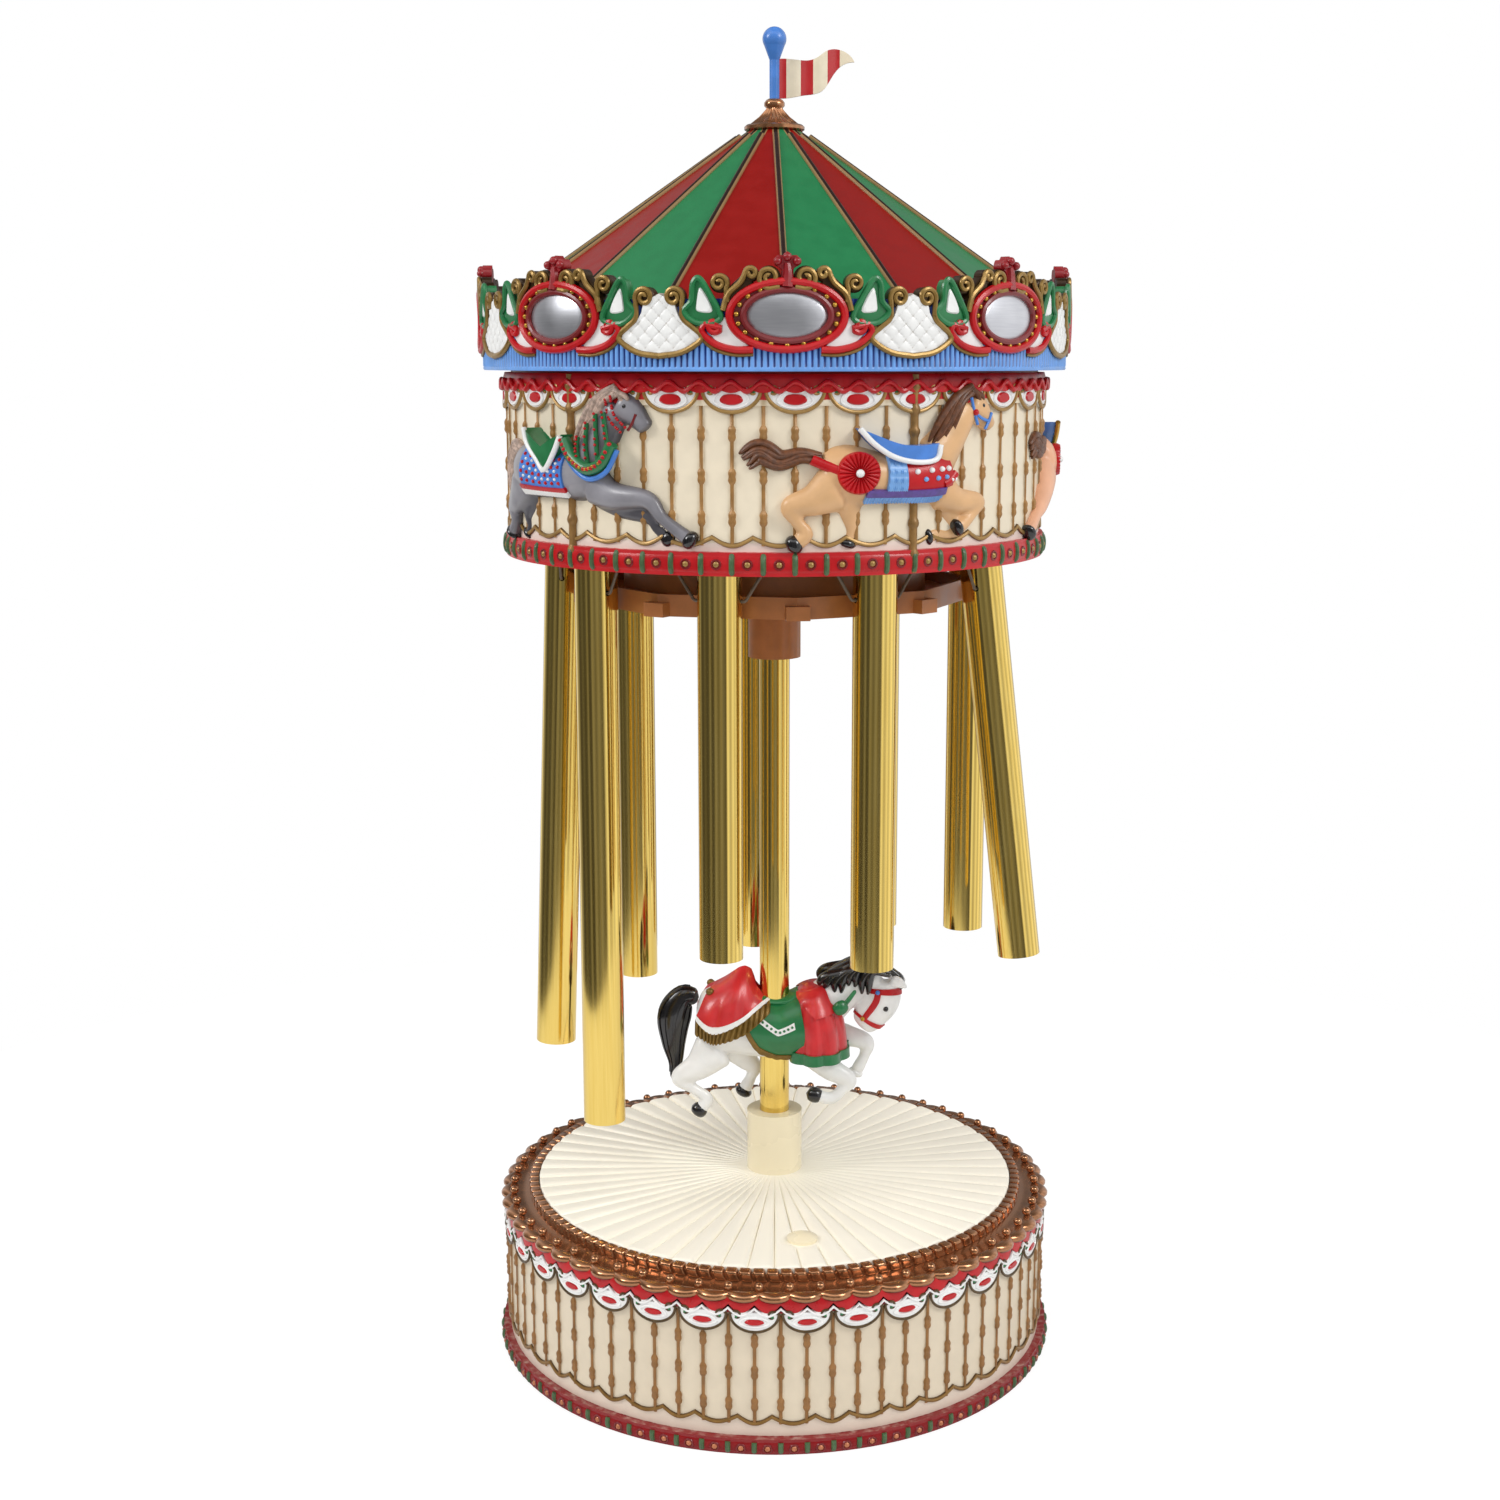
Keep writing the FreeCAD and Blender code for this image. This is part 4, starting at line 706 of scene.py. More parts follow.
def swags(count, first, narrow, level, height, radius, size):
    """A bar in swags round the wall, count pairs to the turn: a narrow one with its middle at the first
    angle, which takes that share of the pair, then a wide one. Each hangs as a sine and meets the next in a
    cusp."""
    sag = np.linspace(0.0, 1.0, 16, endpoint=False)
    share = np.concatenate([narrow * sag, narrow + (1.0 - narrow) * sag])
    pair = np.arange(count)[:, None] + share[None, :] - 0.5 * narrow
    rise = np.tile(1.0 - np.sin(math.pi * sag), 2 * count)
    return wall_bar(first + pair.ravel() * 360.0 / count, level + height * rise, radius, size)


def turned(shape, angle):
    """The shape turned round the axis by an angle."""
    cosine = math.cos(math.radians(angle))
    sine = math.sin(math.radians(angle))
    x, y, z = shape[0].T
    return np.stack([cosine * x - sine * y, sine * x + cosine * y, z], axis=-1), shape[1]


def ring_angles(count, first):
    """Even angles round the axis, starting at the first."""
    return first + 360.0 / count * np.arange(count)


def wall_ornament(prefix, slot, radius, scallops, first, hang, depth, line, gem, rib_low, knots, foot,
                  bar_high, foot_radius, paints):
    """The raised work of a wall: ribs at and between the scallops, the scallops, the swags at the foot, and
    the foot band with its bars and studs. Foot is the low and high level of that band, and bar_high the bars'
    end."""
    rib_paint, gold, border_paint, foot_paint, stud_paint = paints
    ribs = 2 * scallops
    at_ribs = ring_angles(ribs, first)
    pitch = 2.0 * math.pi * radius / scallops
    rib = on_wall(bamboo_rib(rib_low, hang - 0.6, knots), at_ribs, radius)
    piece(f"{prefix}_ribs", "base", slot, [(rib, rib_paint)])
    shell, border, dots, jewel = (
        on_wall(moved(part, 0.0, hang), ring_angles(scallops, first), radius + 0.35)
        for part in scallop(0.93 * pitch, depth, line, gem))
    piece(f"{prefix}_scallops", "base", slot, [
        (shell, white_paint), (border, border_paint), (dots, green_paint), (jewel, red_paint)])
    swag = swags(
        ribs // 3, first - 360.0 / scallops, narrow=0.44, level=rib_low, height=2.1, radius=radius + 0.15,
        size=0.66)
    piece(f"{prefix}_swags", "base", slot, [(swag, gold)])
    low, high = foot
    tall = 0.5 * (high - low)
    bulge = 1.15
    tilt = np.radians(np.linspace(-90.0, 90.0, 13))
    level = low + tall + tall * np.sin(tilt)
    swell = bulge * np.cos(tilt)
    inside = [foot_radius - 2.0] * 2
    roll = lathe(np.concatenate([foot_radius + swell, inside]), np.concatenate([level, [high, low]]), 240)
    bar_level = np.linspace(low, bar_high, 9)
    bar = bead(upright(bar_level), 0.75, np.interp(bar_level, level, swell))
    middle = 0.5 * (low + bar_high)
    cup = moved(bead(oval(1.15, 1.15, 14), 0.3, bulge, closed=True, sides=6), 0.0, middle)
    stud = ball(0.0, middle, 0.85, bulge - 0.1, 0.8, 6, 8)
    between_ribs = ring_angles(ribs, first + 90.0 / scallops)
    piece(f"{prefix}_foot_band", "base", slot, [
        (roll, foot_paint), (on_wall(bar, at_ribs, foot_radius), bar_green),
        (on_wall(cup, between_ribs, foot_radius), dark_red_paint),
        (on_wall(stud, between_ribs, foot_radius), stud_paint)])


wall_ornament(
    "base", "base_paint", BASE_RADIUS, 36, BASE_FIRST, hang=40.7, depth=5.2, line=0.42, gem=0.75,
    rib_low=8.2, knots=(32.4, 23.2, 13.8), foot=(0.1, 4.3), bar_high=3.5, foot_radius=83.1,
    paints=(base_cane, base_gold, dark_gold, foot_red, stud_copper))
wall_ornament(
    "drum", "drum_paint", DRUM_RADIUS, 30, DRUM_FIRST, hang=288.2, depth=5.8, line=0.55, gem=1.25,
    rib_low=248.6, knots=(277.0, 266.2, 255.5), foot=(240.9, 246.8), bar_high=246.8, foot_radius=76.9,
    paints=(drum_cane, drum_gold, drum_gold, red_paint, drum_gold))


# Red frill under the rim of the base and under the canopy

def frill(radius, low, high, count, drop):
    """A red band whose hem waves: the foot of the profile falls by the drop times the size of a cosine."""
    turns = count * 12
    wavy = np.abs(np.cos(0.5 * count * full_turn(turns)))
    profile = np.array([[-2.0, high], [0.0, high], [0.5, 0.5 * (low + high)], [0.35, low], [-2.0, low]])
    share = np.array([0.0, 0.0, 0.5, 1.0, 1.0])
    return lathe(radius + profile[:, 0] + 0.35 * wavy * share, profile[:, 1] - drop * wavy * share, turns)


piece("base_frill", "base", "base_paint", [
    (turned(frill(82.1, low=43.2, high=45.2, count=72, drop=2.2), 3.7), red_paint),
    (swags(36, 8.7, narrow=0.5, level=40.2, height=2.1, radius=82.85, size=0.42), white_paint)])
piece("drum_frill", "base", "drum_paint", [
    (turned(frill(77.2, low=288.6, high=292.0, count=60, drop=1.4), DRUM_FIRST), red_paint),
    (wave(60, DRUM_FIRST, level=288.8, height=1.15, radius=78.15, size=0.75), red_paint)])


# Rim and deck

def bronze_rim():
    """The dropped-on rim: a lathe whose outer edge swells by a power of the size of a cosine, sixty bumps to
    the turn, a ring of balls on its flat, and an inner wall with a ring of bricks that lean to one side."""
    bumps = 60
    turns = bumps * 14
    bump = np.abs(np.cos(0.5 * bumps * full_turn(turns))) ** 0.8
    profile = np.array([
        [80.2, 44.5], [81.2, 44.2], [81.8, 44.4], [82.1, 44.9], [82.1, 45.4], [81.8, 45.9], [81.3, 46.3],
        [80.6, 46.45], [79.8, 46.1], [77.6, 46.0], [76.4, 46.1], [75.6, 46.4], [74.7, 46.5], [74.7, 48.2],
        [74.4, 48.4], [73.4, 48.4], [73.1, 48.2], [72.9, 46.5], [72.9, 44.3]])
    spread = np.zeros(len(profile))
    spread[:9] = (0.0, 0.45, 0.85, 1.0, 1.0, 0.9, 0.6, 0.25, 0.0)
    drop = np.zeros(len(profile))
    drop[:9] = (0.3, 0.6, 0.7, 0.4, 0.0, -0.3, -0.5, -0.2, 0.0)
    body = lathe(profile[:, 0] + 1.9 * bump * spread, profile[:, 1] - 0.6 * bump * drop, turns)
    ball_level = 47.3
    ball_ring = 80.0
    balls = on_wall(ball(0.0, ball_level, 1.3, rings=9, sides=12), ring_angles(bumps, 3.0), ball_ring)
    bricks = 122
    brick_level = 46.3
    brick_ring = 74.0
    half = 1.56
    tall = 3.1
    lean = 0.65
    corners = np.array([
        [-half + lean, 0.0], [half + lean, 0.0], [half - lean, tall], [-half - lean, tall]])
    following = np.roll(corners, -1, axis=0)
    sides = np.stack([
        0.88 * corners + 0.12 * following, 0.5 * (corners + following),
        0.12 * corners + 0.88 * following], axis=1)
    brick = plate(curve(sides.reshape(-1, 2), 2, True), -1.4, 1.4, edge=0.5, rings=3)
    ring = on_wall(moved(brick, 0.0, brick_level), ring_angles(bricks, 0.0), brick_ring)
    return body, balls, ring


rim_layers = [(shape, bronze_paint) for shape in bronze_rim()]
piece("rim", "base", "bronze_paint", rim_layers, ["deck_rim"], sharp=50.0)


def pleated_deck():
    """The deck: a shallow cone folded like a fan. Across each of its sixty pleats the height is one less a
    power of the way from its middle, tilted to one side, and the valleys lie below the cone. They deepen
    outward; the pleats round off at their ends, and leave the button a flat land."""
    pleats = 60
    depth = 1.4
    bore = 8.2
    rounding = 71.2
    edge = 72.3
    edge_level = 50.0
    bottom = 44.6
    land_radius = 5.2
    hole_radius = 4.45
    steps = np.array([0.0, 0.02, 0.05, 0.1, 0.2, 0.35, 0.5, 0.65, 0.8, 0.9, 0.95, 0.98])
    low, high = (np.array(corner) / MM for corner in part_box("start_button"))
    button = 0.5 * (low + high)
    share = (np.arange(pleats)[:, None] + steps).reshape(-1, 1)
    turn = share * 2 * math.pi / pleats
    radius = np.concatenate([np.linspace(bore, 70.8, 74), np.linspace(rounding, edge, 10)])[None, :]
    part = share % 1.0
    arch = (1.0 - np.abs(2.0 * part - 1.0) ** 7.0) * (0.7 + 0.3 * part)
    growth = np.clip((radius - 7.5) / 31.0, 0.02, 1.0)
    past = np.clip((radius - rounding) / 1.1, 0.0, 1.0)
    ends = 0.6 + 0.4 * np.sqrt(np.clip(1.0 - past ** 2, 0.0, 1.0))
    cone = edge_level + (72.4 - radius) * 0.2 / 64.0
    away = np.hypot(radius * np.sin(turn) - button[0], -radius * np.cos(turn) - button[1])
    land = np.clip((away - land_radius) / 1.2, 0.0, 1.0)
    top = cone - depth * growth * (1.0 - arch * ends) * land - 0.7 * (1.0 - land)
    spread = np.broadcast_to(radius, top.shape)
    push = np.clip(away, hole_radius, None) / np.maximum(away, 1e-6)
    x = button[0] + (spread * np.sin(turn) - button[0]) * push
    y = button[1] + (-spread * np.cos(turn) - button[1]) * push
    face = np.stack([x, y, top], axis=-1)
    under = face * np.array([1.0, 1.0, 0.0]) + np.array([0.0, 0.0, bottom])
    return net(np.concatenate([face, under[:, ::-1]], axis=1), True)


piece("deck_pleats", "base", "cream_plastic", [(pleated_deck(), cream_plastic)], ["deck"], sharp=30.0)


# Crown of the canopy: flat work drawn round a cartouche's middle, then bent on the band

CROWN_RADIUS = 82.9
CROWN_MIDDLE = 306.25
CARTOUCHES = ring_angles(8, ROOF_SEAM)
SHIELDS = ring_angles(8, ROOF_SEAM + ROOF_PITCH)
# How far the plates of the crown reach back into the band
BEHIND = -2.7


def crown(shape, angles):
    """Crown work, drawn from a cartouche's middle, bent on the band at each of the angles."""
    return on_wall(moved(shape, 0.0, CROWN_MIDDLE), angles, CROWN_RADIUS)


def backing_disc(centre, half_width, half_height, high=0.2):
    """An oval plate behind a scroll."""
    return plate(np.array(centre) + oval(half_width, half_height, 24), BEHIND, high)


def blue_band():
    """The ribbed band of the crown: 330 ribs whose height is the size of a sine, with a plain bead at its
    foot."""
    ribs = 330
    turns = ribs * 5
    rib = np.abs(np.sin(0.5 * ribs * full_turn(turns)))
    profile = np.array([
        [80.0, 292.6], [82.9, 292.6], [83.1, 293.0], [83.0, 293.5], [82.4, 293.8], [82.4, 300.0],
        [82.2, 310.4], [80.0, 310.4]])
    share = np.array([0.0, 0.0, 0.0, 0.0, 1.0, 1.0, 0.4, 0.0])
    return lathe(profile[:, 0] + 0.75 * rib * share, profile[:, 1], turns)


def cartouche():
    """The layers of one cartouche, each a shape with its material: frame, beads, crest, scrolls, leaves,
    horns."""
    yield plate(oval(14.9, 8.7, 64), BEHIND, 0.25, rings=8), dark_red_paint
    yield bead(oval(10.9, 6.3, 64), 0.85, 0.55, closed=True), dark_red_paint
    yield bead(oval(14.35, 8.25, 72), 1.0, 0.65, closed=True), red_paint
    angles = np.radians(np.arange(122.0, 419.0, 18.5))
    spots = [ball(12.6 * math.cos(a), 7.25 * math.sin(a), 0.72, 0.55, rings=6, sides=8) for a in angles]
    yield gather(spots), bright_gold
    stem = curve([(0.0, 7.0), (0.2, 10.0), (0.0, 12.6)], 6)
    back = curve([
        (-2.2, 7.0), (-1.5, 11.0), (-3.2, 12.4), (-2.6, 14.4), (-0.9, 14.6), (0.0, 15.5), (0.9, 14.6),
        (2.6, 14.4), (3.2, 12.4), (1.5, 11.0), (2.2, 7.0)], 5)
    yield plate(back, BEHIND, 0.3, middle=(0.0, 11.0), rings=5), crest_red
    yield bead(stem, np.linspace(1.7, 0.9, len(stem)), 0.35), crest_red
    lobes = [ball(0.0, 14.2, 1.15, 0.45), mirrored(ball(2.4, 13.1, 1.1, 0.45))]
    yield gather(lobes), crest_red
    inner = scroll([(1.9, 6.9), (4.6, 6.4)], 8, (4.5, 9.2), 2.7, 0.5, -90.0, 1.55)
    hook_line = [(15.9, 1.2), (14.6, 5.2), (11.6, 8.0), (10.3, 10.4)]
    hook = scroll(hook_line, 8, (8.9, 10.2), 1.5, 0.4, 10.0, 1.1, 20)
    outer = scroll([(14.8, 3.2), (15.1, 5.4)], 8, (16.9, 7.9), 2.2, 0.45, 215.0, -1.5)
    for path, size in ((inner, 0.75), (hook, 0.8), (outer, 0.65)):
        yield mirrored(bead(path, np.linspace(1.0, 0.75, len(path)) * size, 0.7)), crown_gold
    hook_back = curve(
        [(16.6, 0.5), (15.6, 5.4), (12.4, 8.8), (9.4, 10.8), (8.6, 7.4), (12.6, 4.4)], 5, True)
    backing = [
        backing_disc((4.5, 9.2), 2.9, 2.9, 0.25), backing_disc((9.0, 10.0), 2.0, 1.9),
        backing_disc((16.9, 7.9), 2.4, 2.4), plate(hook_back, BEHIND, 0.15, rings=5)]
    yield mirrored(gather(backing)), crown_gold
    leaf = curve([
        (16.5, -0.7), (19.0, 4.8), (21.8, 9.0), (23.5, 7.8), (24.0, 3.6), (25.9, 0.9), (22.0, -1.9)], 7, True)
    heart = curve([(18.6, 1.2), (21.6, 6.8), (22.7, 2.8), (22.3, 1.0)], 6, True)
    yield mirrored(plate(leaf, BEHIND, 0.4, rings=5)), green_paint
    yield mirrored(bead(leaf, 0.75, 0.6, closed=True)), green_paint
    yield mirrored(plate(heart, -0.5, 0.75, rings=4)), white_paint
    curl = spiral((18.2, -2.4), 0.5, 2.0, 200.0, -1.0, 22)
    horn_line = curve([(20.6, -2.0), (21.2, -4.0), (17.9, -6.9), (13.1, -8.3), (8.4, -8.3)], 7)
    horn = np.concatenate([curl, horn_line])
    yield mirrored(bead(horn, np.linspace(0.65, 0.95, len(horn)), 0.65)), red_paint
    infill = curve(
        [(15.4, -0.4), (20.4, -2.4), (17.4, -6.6), (13.0, -8.0), (9.4, -7.8), (12.8, -4.4)], 6, True)
    yield mirrored(plate(infill, BEHIND, 0.3, rings=5)), white_paint
    edge = curve([(22.3, -2.6), (21.6, -5.2), (18.4, -8.1), (13.3, -9.6), (8.4, -9.5)], 7)
    yield mirrored(bead(edge, 0.5, 0.3)), crown_gold


def mirror():
    """One mirror: an oval that bulges as one less the square of the way out from its middle."""
    wide = 10.3
    tall = 5.8

    def bulge(across, up):
        """The bulge's height."""
        return 1.1 * (1.0 - (across / wide) ** 2 - (up / tall) ** 2)

    return plate(oval(wide, tall, 64), -1.5, 0.35, rings=10, relief=bulge)


def shield():
    """The layers of one shield, drawn from a cartouche's level: a white bell quilted in diagonal squares, and
    a gold border that ends in scrolls."""
    pitch = 3.9

    def quilt(across, up):
        """Height of the quilt: the fourth root of the product of two sines, so flat squares with thin
        grooves."""
        first = np.abs(np.sin(math.pi * (across + up) / pitch))
        second = np.abs(np.sin(math.pi * (across - up) / pitch))
        return 0.5 * (first * second) ** 0.25

    right = curve([
        (0.0, -9.75), (5.6, -8.9), (9.6, -6.9), (11.1, -5.0), (8.8, -3.0), (6.2, -0.9), (5.05, 0.9),
        (4.2, 3.2), (2.2, 4.6), (0.0, 5.6)], 7)
    outline = np.concatenate([right[:-1], (right * np.array([-1.0, 1.0]))[:0:-1]])
    bell = plate(outline, BEHIND, 0.15, middle=(0.0, -3.6), rings=34, relief=quilt)
    hem = [(0.0, -9.9), (5.6, -9.1), (9.8, -7.0), (11.3, -5.0), (8.9, -2.8), (6.4, -0.6), (6.2, 2.6)]
    rim = scroll(hem, 7, (4.0, 4.6), 2.5, 0.5, -25.0, 1.55)
    border = mirrored(bead(rim, np.linspace(0.8, 0.6, len(rim)), 0.6))
    backing = mirrored(backing_disc((4.0, 4.6), 2.6, 2.6))
    return [(bell, quilted_white), (border, crown_gold), (backing, crown_gold)]


piece("crown_wall", "canopy", "crown_paint", [(blue_band(), ribbed_blue)], ["crown_band"], sharp=60.0)
piece("crown_cartouches", "canopy", "crown_paint", [(crown(s, CARTOUCHES), m) for s, m in cartouche()])
piece("crown_silvers", "canopy", "mirror_silver", [(crown(mirror(), CARTOUCHES), silver)], ["crown_mirrors"])
piece("crown_shields", "canopy", "crown_paint", [(crown(s, SHIELDS), m) for s, m in shield()])


def fluted_cap():
    """The cap of the roof: a flared cone with 24 flutes whose depth is the size of a sine, a rolled brim, and
    a small turned ball under the staff."""
    flutes = 24
    turns = flutes * 10
    flute = np.abs(np.sin(0.5 * flutes * full_turn(turns)))
    profile = np.array([
        [0.05, 358.6], [7.8, 358.6], [8.5, 359.1], [8.5, 359.9], [7.9, 360.4], [7.0, 360.6], [4.4, 362.6],
        [2.5, 364.6], [2.3, 365.0], [2.9, 365.6], [2.9, 366.5], [2.3, 367.2], [1.8, 367.5], [0.05, 367.6]])
    share = np.array([0.0, 0.0, 0.0, 0.0, 0.0, 1.0, 1.0, 0.5, 0.0, 0.0, 0.0, 0.0, 0.0, 0.0])
    return lathe(profile[:, 0] - 0.55 * flute * share, profile[:, 1], turns)


piece("cap_flutes", "canopy", "bronze_paint", [(fluted_cap(), bronze_paint)], ["roof_cap"], sharp=45.0)


# Relief horses

# The foot of the drum, which their levels count from, and how deep the trunk's axis lies in the wall
DRUM_LOW = 240.8
SINK = -2.4
TRUNK = Limb((-25.5, 25.0, SINK, 6.2, 6.2), (-19.0, 25.7, SINK, 8.2, 7.6), (-7.5, 24.6, SINK, 6.8, 7.0),
             (4.0, 25.0, SINK, 7.4, 7.3), (10.5, 25.6, SINK, 6.4, 6.4))
HEAD = [
    Limb((5.5, 28.0, -1.6, 7.4, 5.8), (10.5, 34.0, -1.0, 5.8, 4.7), (14.5, 39.5, -0.4, 4.8, 4.1),
         (17.8, 43.0, 0.0, 3.7, 3.5)),
    Limb((17.2, 43.4, 0.2, 3.8, 3.5), (21.0, 41.6, 0.5, 3.7, 3.1), (24.0, 38.8, 0.7, 2.6, 2.4),
         (25.6, 37.0, 0.7, 2.2, 2.1)),
    Limb((15.8, 45.2, 0.8, 1.0, 1.2), (16.3, 47.0, 0.8, 0.9, 0.9), (17.0, 48.6, 0.8, 0.3, 0.3))]
CHEEK_STRAP = [(16.0, 45.0), (17.2, 41.2), (18.4, 38.0)]
NOSEBAND = [(23.6, 41.0), (22.6, 38.8), (21.2, 36.8)]
# Near hind, far hind, near fore and far fore leg in each gait, as the stations of a limb
LEGS = {
    "trot": [
        [(-21.0, 23.0, 0.4, 7.0, 4.6), (-27.5, 19.5, 0.9, 4.2, 3.4), (-33.3, 17.8, 1.2, 2.6, 2.3),
         (-31.5, 14.0, 1.2, 1.7, 1.7), (-29.3, 10.8, 1.2, 1.9, 1.8), (-32.6, 8.0, 1.2, 2.1, 2.0)],
        [(-18.0, 22.0, -1.5, 6.0, 4.0), (-17.8, 16.8, -1.2, 3.4, 2.8), (-17.2, 13.2, -1.0, 2.3, 2.1),
         (-17.4, 10.8, -1.0, 1.6, 1.6), (-18.2, 8.0, -1.0, 2.0, 1.9)],
        [(7.0, 22.0, 0.4, 5.6, 4.2), (13.0, 18.6, 0.9, 3.6, 3.0), (20.8, 17.8, 1.2, 2.3, 2.2),
         (18.8, 14.8, 1.2, 1.6, 1.6), (15.8, 12.4, 1.2, 1.8, 1.8), (13.2, 11.3, 1.2, 2.0, 1.9)],
        [(8.0, 20.5, -1.5, 4.8, 3.6), (12.5, 15.0, -1.2, 3.0, 2.6), (15.2, 10.6, -1.0, 2.2, 2.0),
         (11.5, 9.4, -1.0, 1.6, 1.6), (7.8, 9.7, -1.0, 1.8, 1.7), (5.0, 9.1, -1.0, 2.0, 1.8)]],
    "leap": [
        [(-21.0, 23.0, 0.4, 7.0, 4.6), (-25.5, 18.0, 0.9, 4.4, 3.5), (-30.2, 14.4, 1.2, 2.6, 2.3),
         (-29.6, 11.4, 1.2, 1.7, 1.7), (-30.8, 9.2, 1.2, 1.8, 1.8), (-32.4, 7.6, 1.2, 2.1, 2.0)],
        [(-19.0, 22.0, -1.5, 6.0, 4.0), (-21.0, 16.4, -1.2, 3.4, 2.8), (-23.6, 12.6, -1.0, 2.3, 2.1),
         (-22.8, 9.8, -1.0, 1.6, 1.6), (-24.4, 7.8, -1.0, 2.0, 1.9)],
        [(8.0, 23.0, 0.4, 5.8, 4.3), (15.0, 20.0, 0.9, 3.8, 3.1), (25.5, 19.2, 1.2, 2.4, 2.3),
         (29.6, 14.8, 1.2, 1.7, 1.7), (34.4, 11.2, 1.2, 1.8, 1.8), (37.6, 9.0, 1.2, 2.1, 2.0)],
        [(9.0, 21.0, -1.5, 4.8, 3.6), (16.5, 17.0, -1.2, 3.2, 2.7), (25.4, 14.6, -1.0, 2.2, 2.0),
         (27.4, 11.8, -1.0, 1.6, 1.6), (31.0, 9.0, -1.0, 2.0, 1.8)]],
    "gallop": [
        [(-21.0, 23.0, 0.4, 7.0, 4.6), (-28.5, 18.6, 0.9, 4.2, 3.4), (-36.0, 14.2, 1.2, 2.6, 2.3),
         (-40.5, 12.0, 1.2, 1.7, 1.7), (-45.2, 9.2, 1.2, 1.8, 1.8), (-47.8, 7.6, 1.2, 2.1, 2.0)],
        [(-19.0, 22.0, -1.5, 6.0, 4.0), (-24.6, 16.8, -1.2, 3.4, 2.8), (-30.5, 12.0, -1.0, 2.3, 2.1),
         (-35.0, 9.8, -1.0, 1.6, 1.6), (-39.0, 8.0, -1.0, 2.0, 1.9)],
        [(8.0, 23.0, 0.4, 5.8, 4.3), (15.0, 20.0, 0.9, 3.8, 3.1), (25.0, 20.6, 1.2, 2.4, 2.3),
         (28.6, 16.4, 1.2, 1.7, 1.7), (33.4, 13.2, 1.2, 1.8, 1.8), (36.4, 11.4, 1.2, 2.1, 2.0)],
        [(9.0, 21.0, -1.5, 4.8, 3.6), (16.0, 17.4, -1.2, 3.2, 2.7), (23.4, 16.2, -1.0, 2.2, 2.0),
         (22.4, 12.6, -1.0, 1.6, 1.6), (25.8, 10.0, -1.0, 2.0, 1.8)]],
}
# The line of the tail in each gait
TAILS = {
    "trot": [(-25.5, 30.0), (-30.5, 30.8), (-36.0, 29.4), (-41.0, 31.8), (-45.0, 29.4)],
    "leap": [(-25.5, 30.0), (-29.5, 31.5), (-33.0, 28.0), (-34.5, 22.0), (-36.5, 18.0)],
    "gallop": [(-25.5, 30.0), (-30.5, 31.8), (-36.5, 30.0), (-41.0, 32.0), (-45.0, 30.0)],
}


def locks(line, offsets, size, out):
    """Hair: bars side by side along a line, each shifted sideways by its offset, which fans out along the
    line, and each thick in the middle and thin at the tip."""
    path = curve(line, 8)
    share = np.linspace(0.0, 1.0, len(path))
    along = np.gradient(path, axis=0)
    side = np.stack([-along[:, 1], along[:, 0]], axis=-1)
    side /= np.linalg.norm(side, axis=1, keepdims=True)
    thick = size * np.sqrt(np.clip(np.sin(math.pi * (0.12 + 0.86 * share)), 0.02, None))
    shapes = []
    for rank, offset in enumerate(offsets):
        sway = offset * (0.35 + 0.65 * share) + 0.35 * np.sin(7.0 * share + 2.1 * rank)
        shapes.append(bead(path + side * sway[:, None], thick, out, swell=1.2))
    return gather(shapes)


def hoof(stations):
    """A hoof on the end of a leg: a short limb from two fifths of the way between the leg's two last stations
    to as far beyond the last one."""
    ankle, tip = np.array(stations[-2]), np.array(stations[-1])
    start = ankle + 0.4 * (tip - ankle)
    reach = tip + 0.4 * (tip - ankle)
    grow = np.array([1.0, 1.0, 1.0, 1.22, 1.22])
    limb = Limb(start * grow, 0.5 * (start + reach) * grow, reach * grow)
    return limb.closed(sides=14, steps=6, ends=0.97)


def strap(stations, radius, swell=0.7):
    """A strap on the trunk: a bar through stations of place and angle."""
    spots = curve(stations, 6)
    points = TRUNK.surface(spots[:, 0], spots[:, 1], 0.2)
    return bead(points[:, :2], radius, points[:, 2], swell=swell)


def studs(places, angles, radius, lift=0.5):
    """Beads on the trunk at each pair of place and angle."""
    grid = np.broadcast_arrays(np.asarray(places, float)[:, None], np.asarray(angles, float)[None, :])
    spots = TRUNK.surface(*grid, lift).reshape(-1, 3)
    return gather([ball(spot[0], spot[1], radius, spot[2], rings=5, sides=8) for spot in spots])


def beaded(line, out, radius, count):
    """Beads on a smooth line, evenly by its steps; out runs evenly from its first value to its last."""
    spots = curve(line, 8)
    picks = np.linspace(0, len(spots) - 1, count).astype(int)
    levels = np.linspace(out[0], out[-1], count)
    return gather([ball(*spots[pick], radius, level, rings=5, sides=8) for pick, level in zip(picks, levels)])


def fringe_ripple(along, around):
    """Height of a fringe: the size of a sine along it."""
    return 0.35 * np.abs(np.sin(30.0 * math.pi * along)) + 0.0 * around


def lattice_ripple(along, around):
    """Height of a lattice: the size of the product of a sine along and a sine around."""
    return 0.35 * np.abs(np.sin(10.0 * math.pi * along) * np.sin(5.0 * math.pi * around))


def rosette(across, up, radius, out):
    """A pleated rosette with 24 petals, each the size of a sine round the middle, and a pearl."""
    def pleat(u, v):
        """The height of a petal."""
        return 0.5 * np.abs(np.sin(12 * np.arctan2(v, u)))

    petals = plate(oval(radius, radius, 144), -1.2, 0.5, rings=6, relief=pleat)
    return moved(petals, across, up, out), ball(across, up, 1.1, out + 0.9)


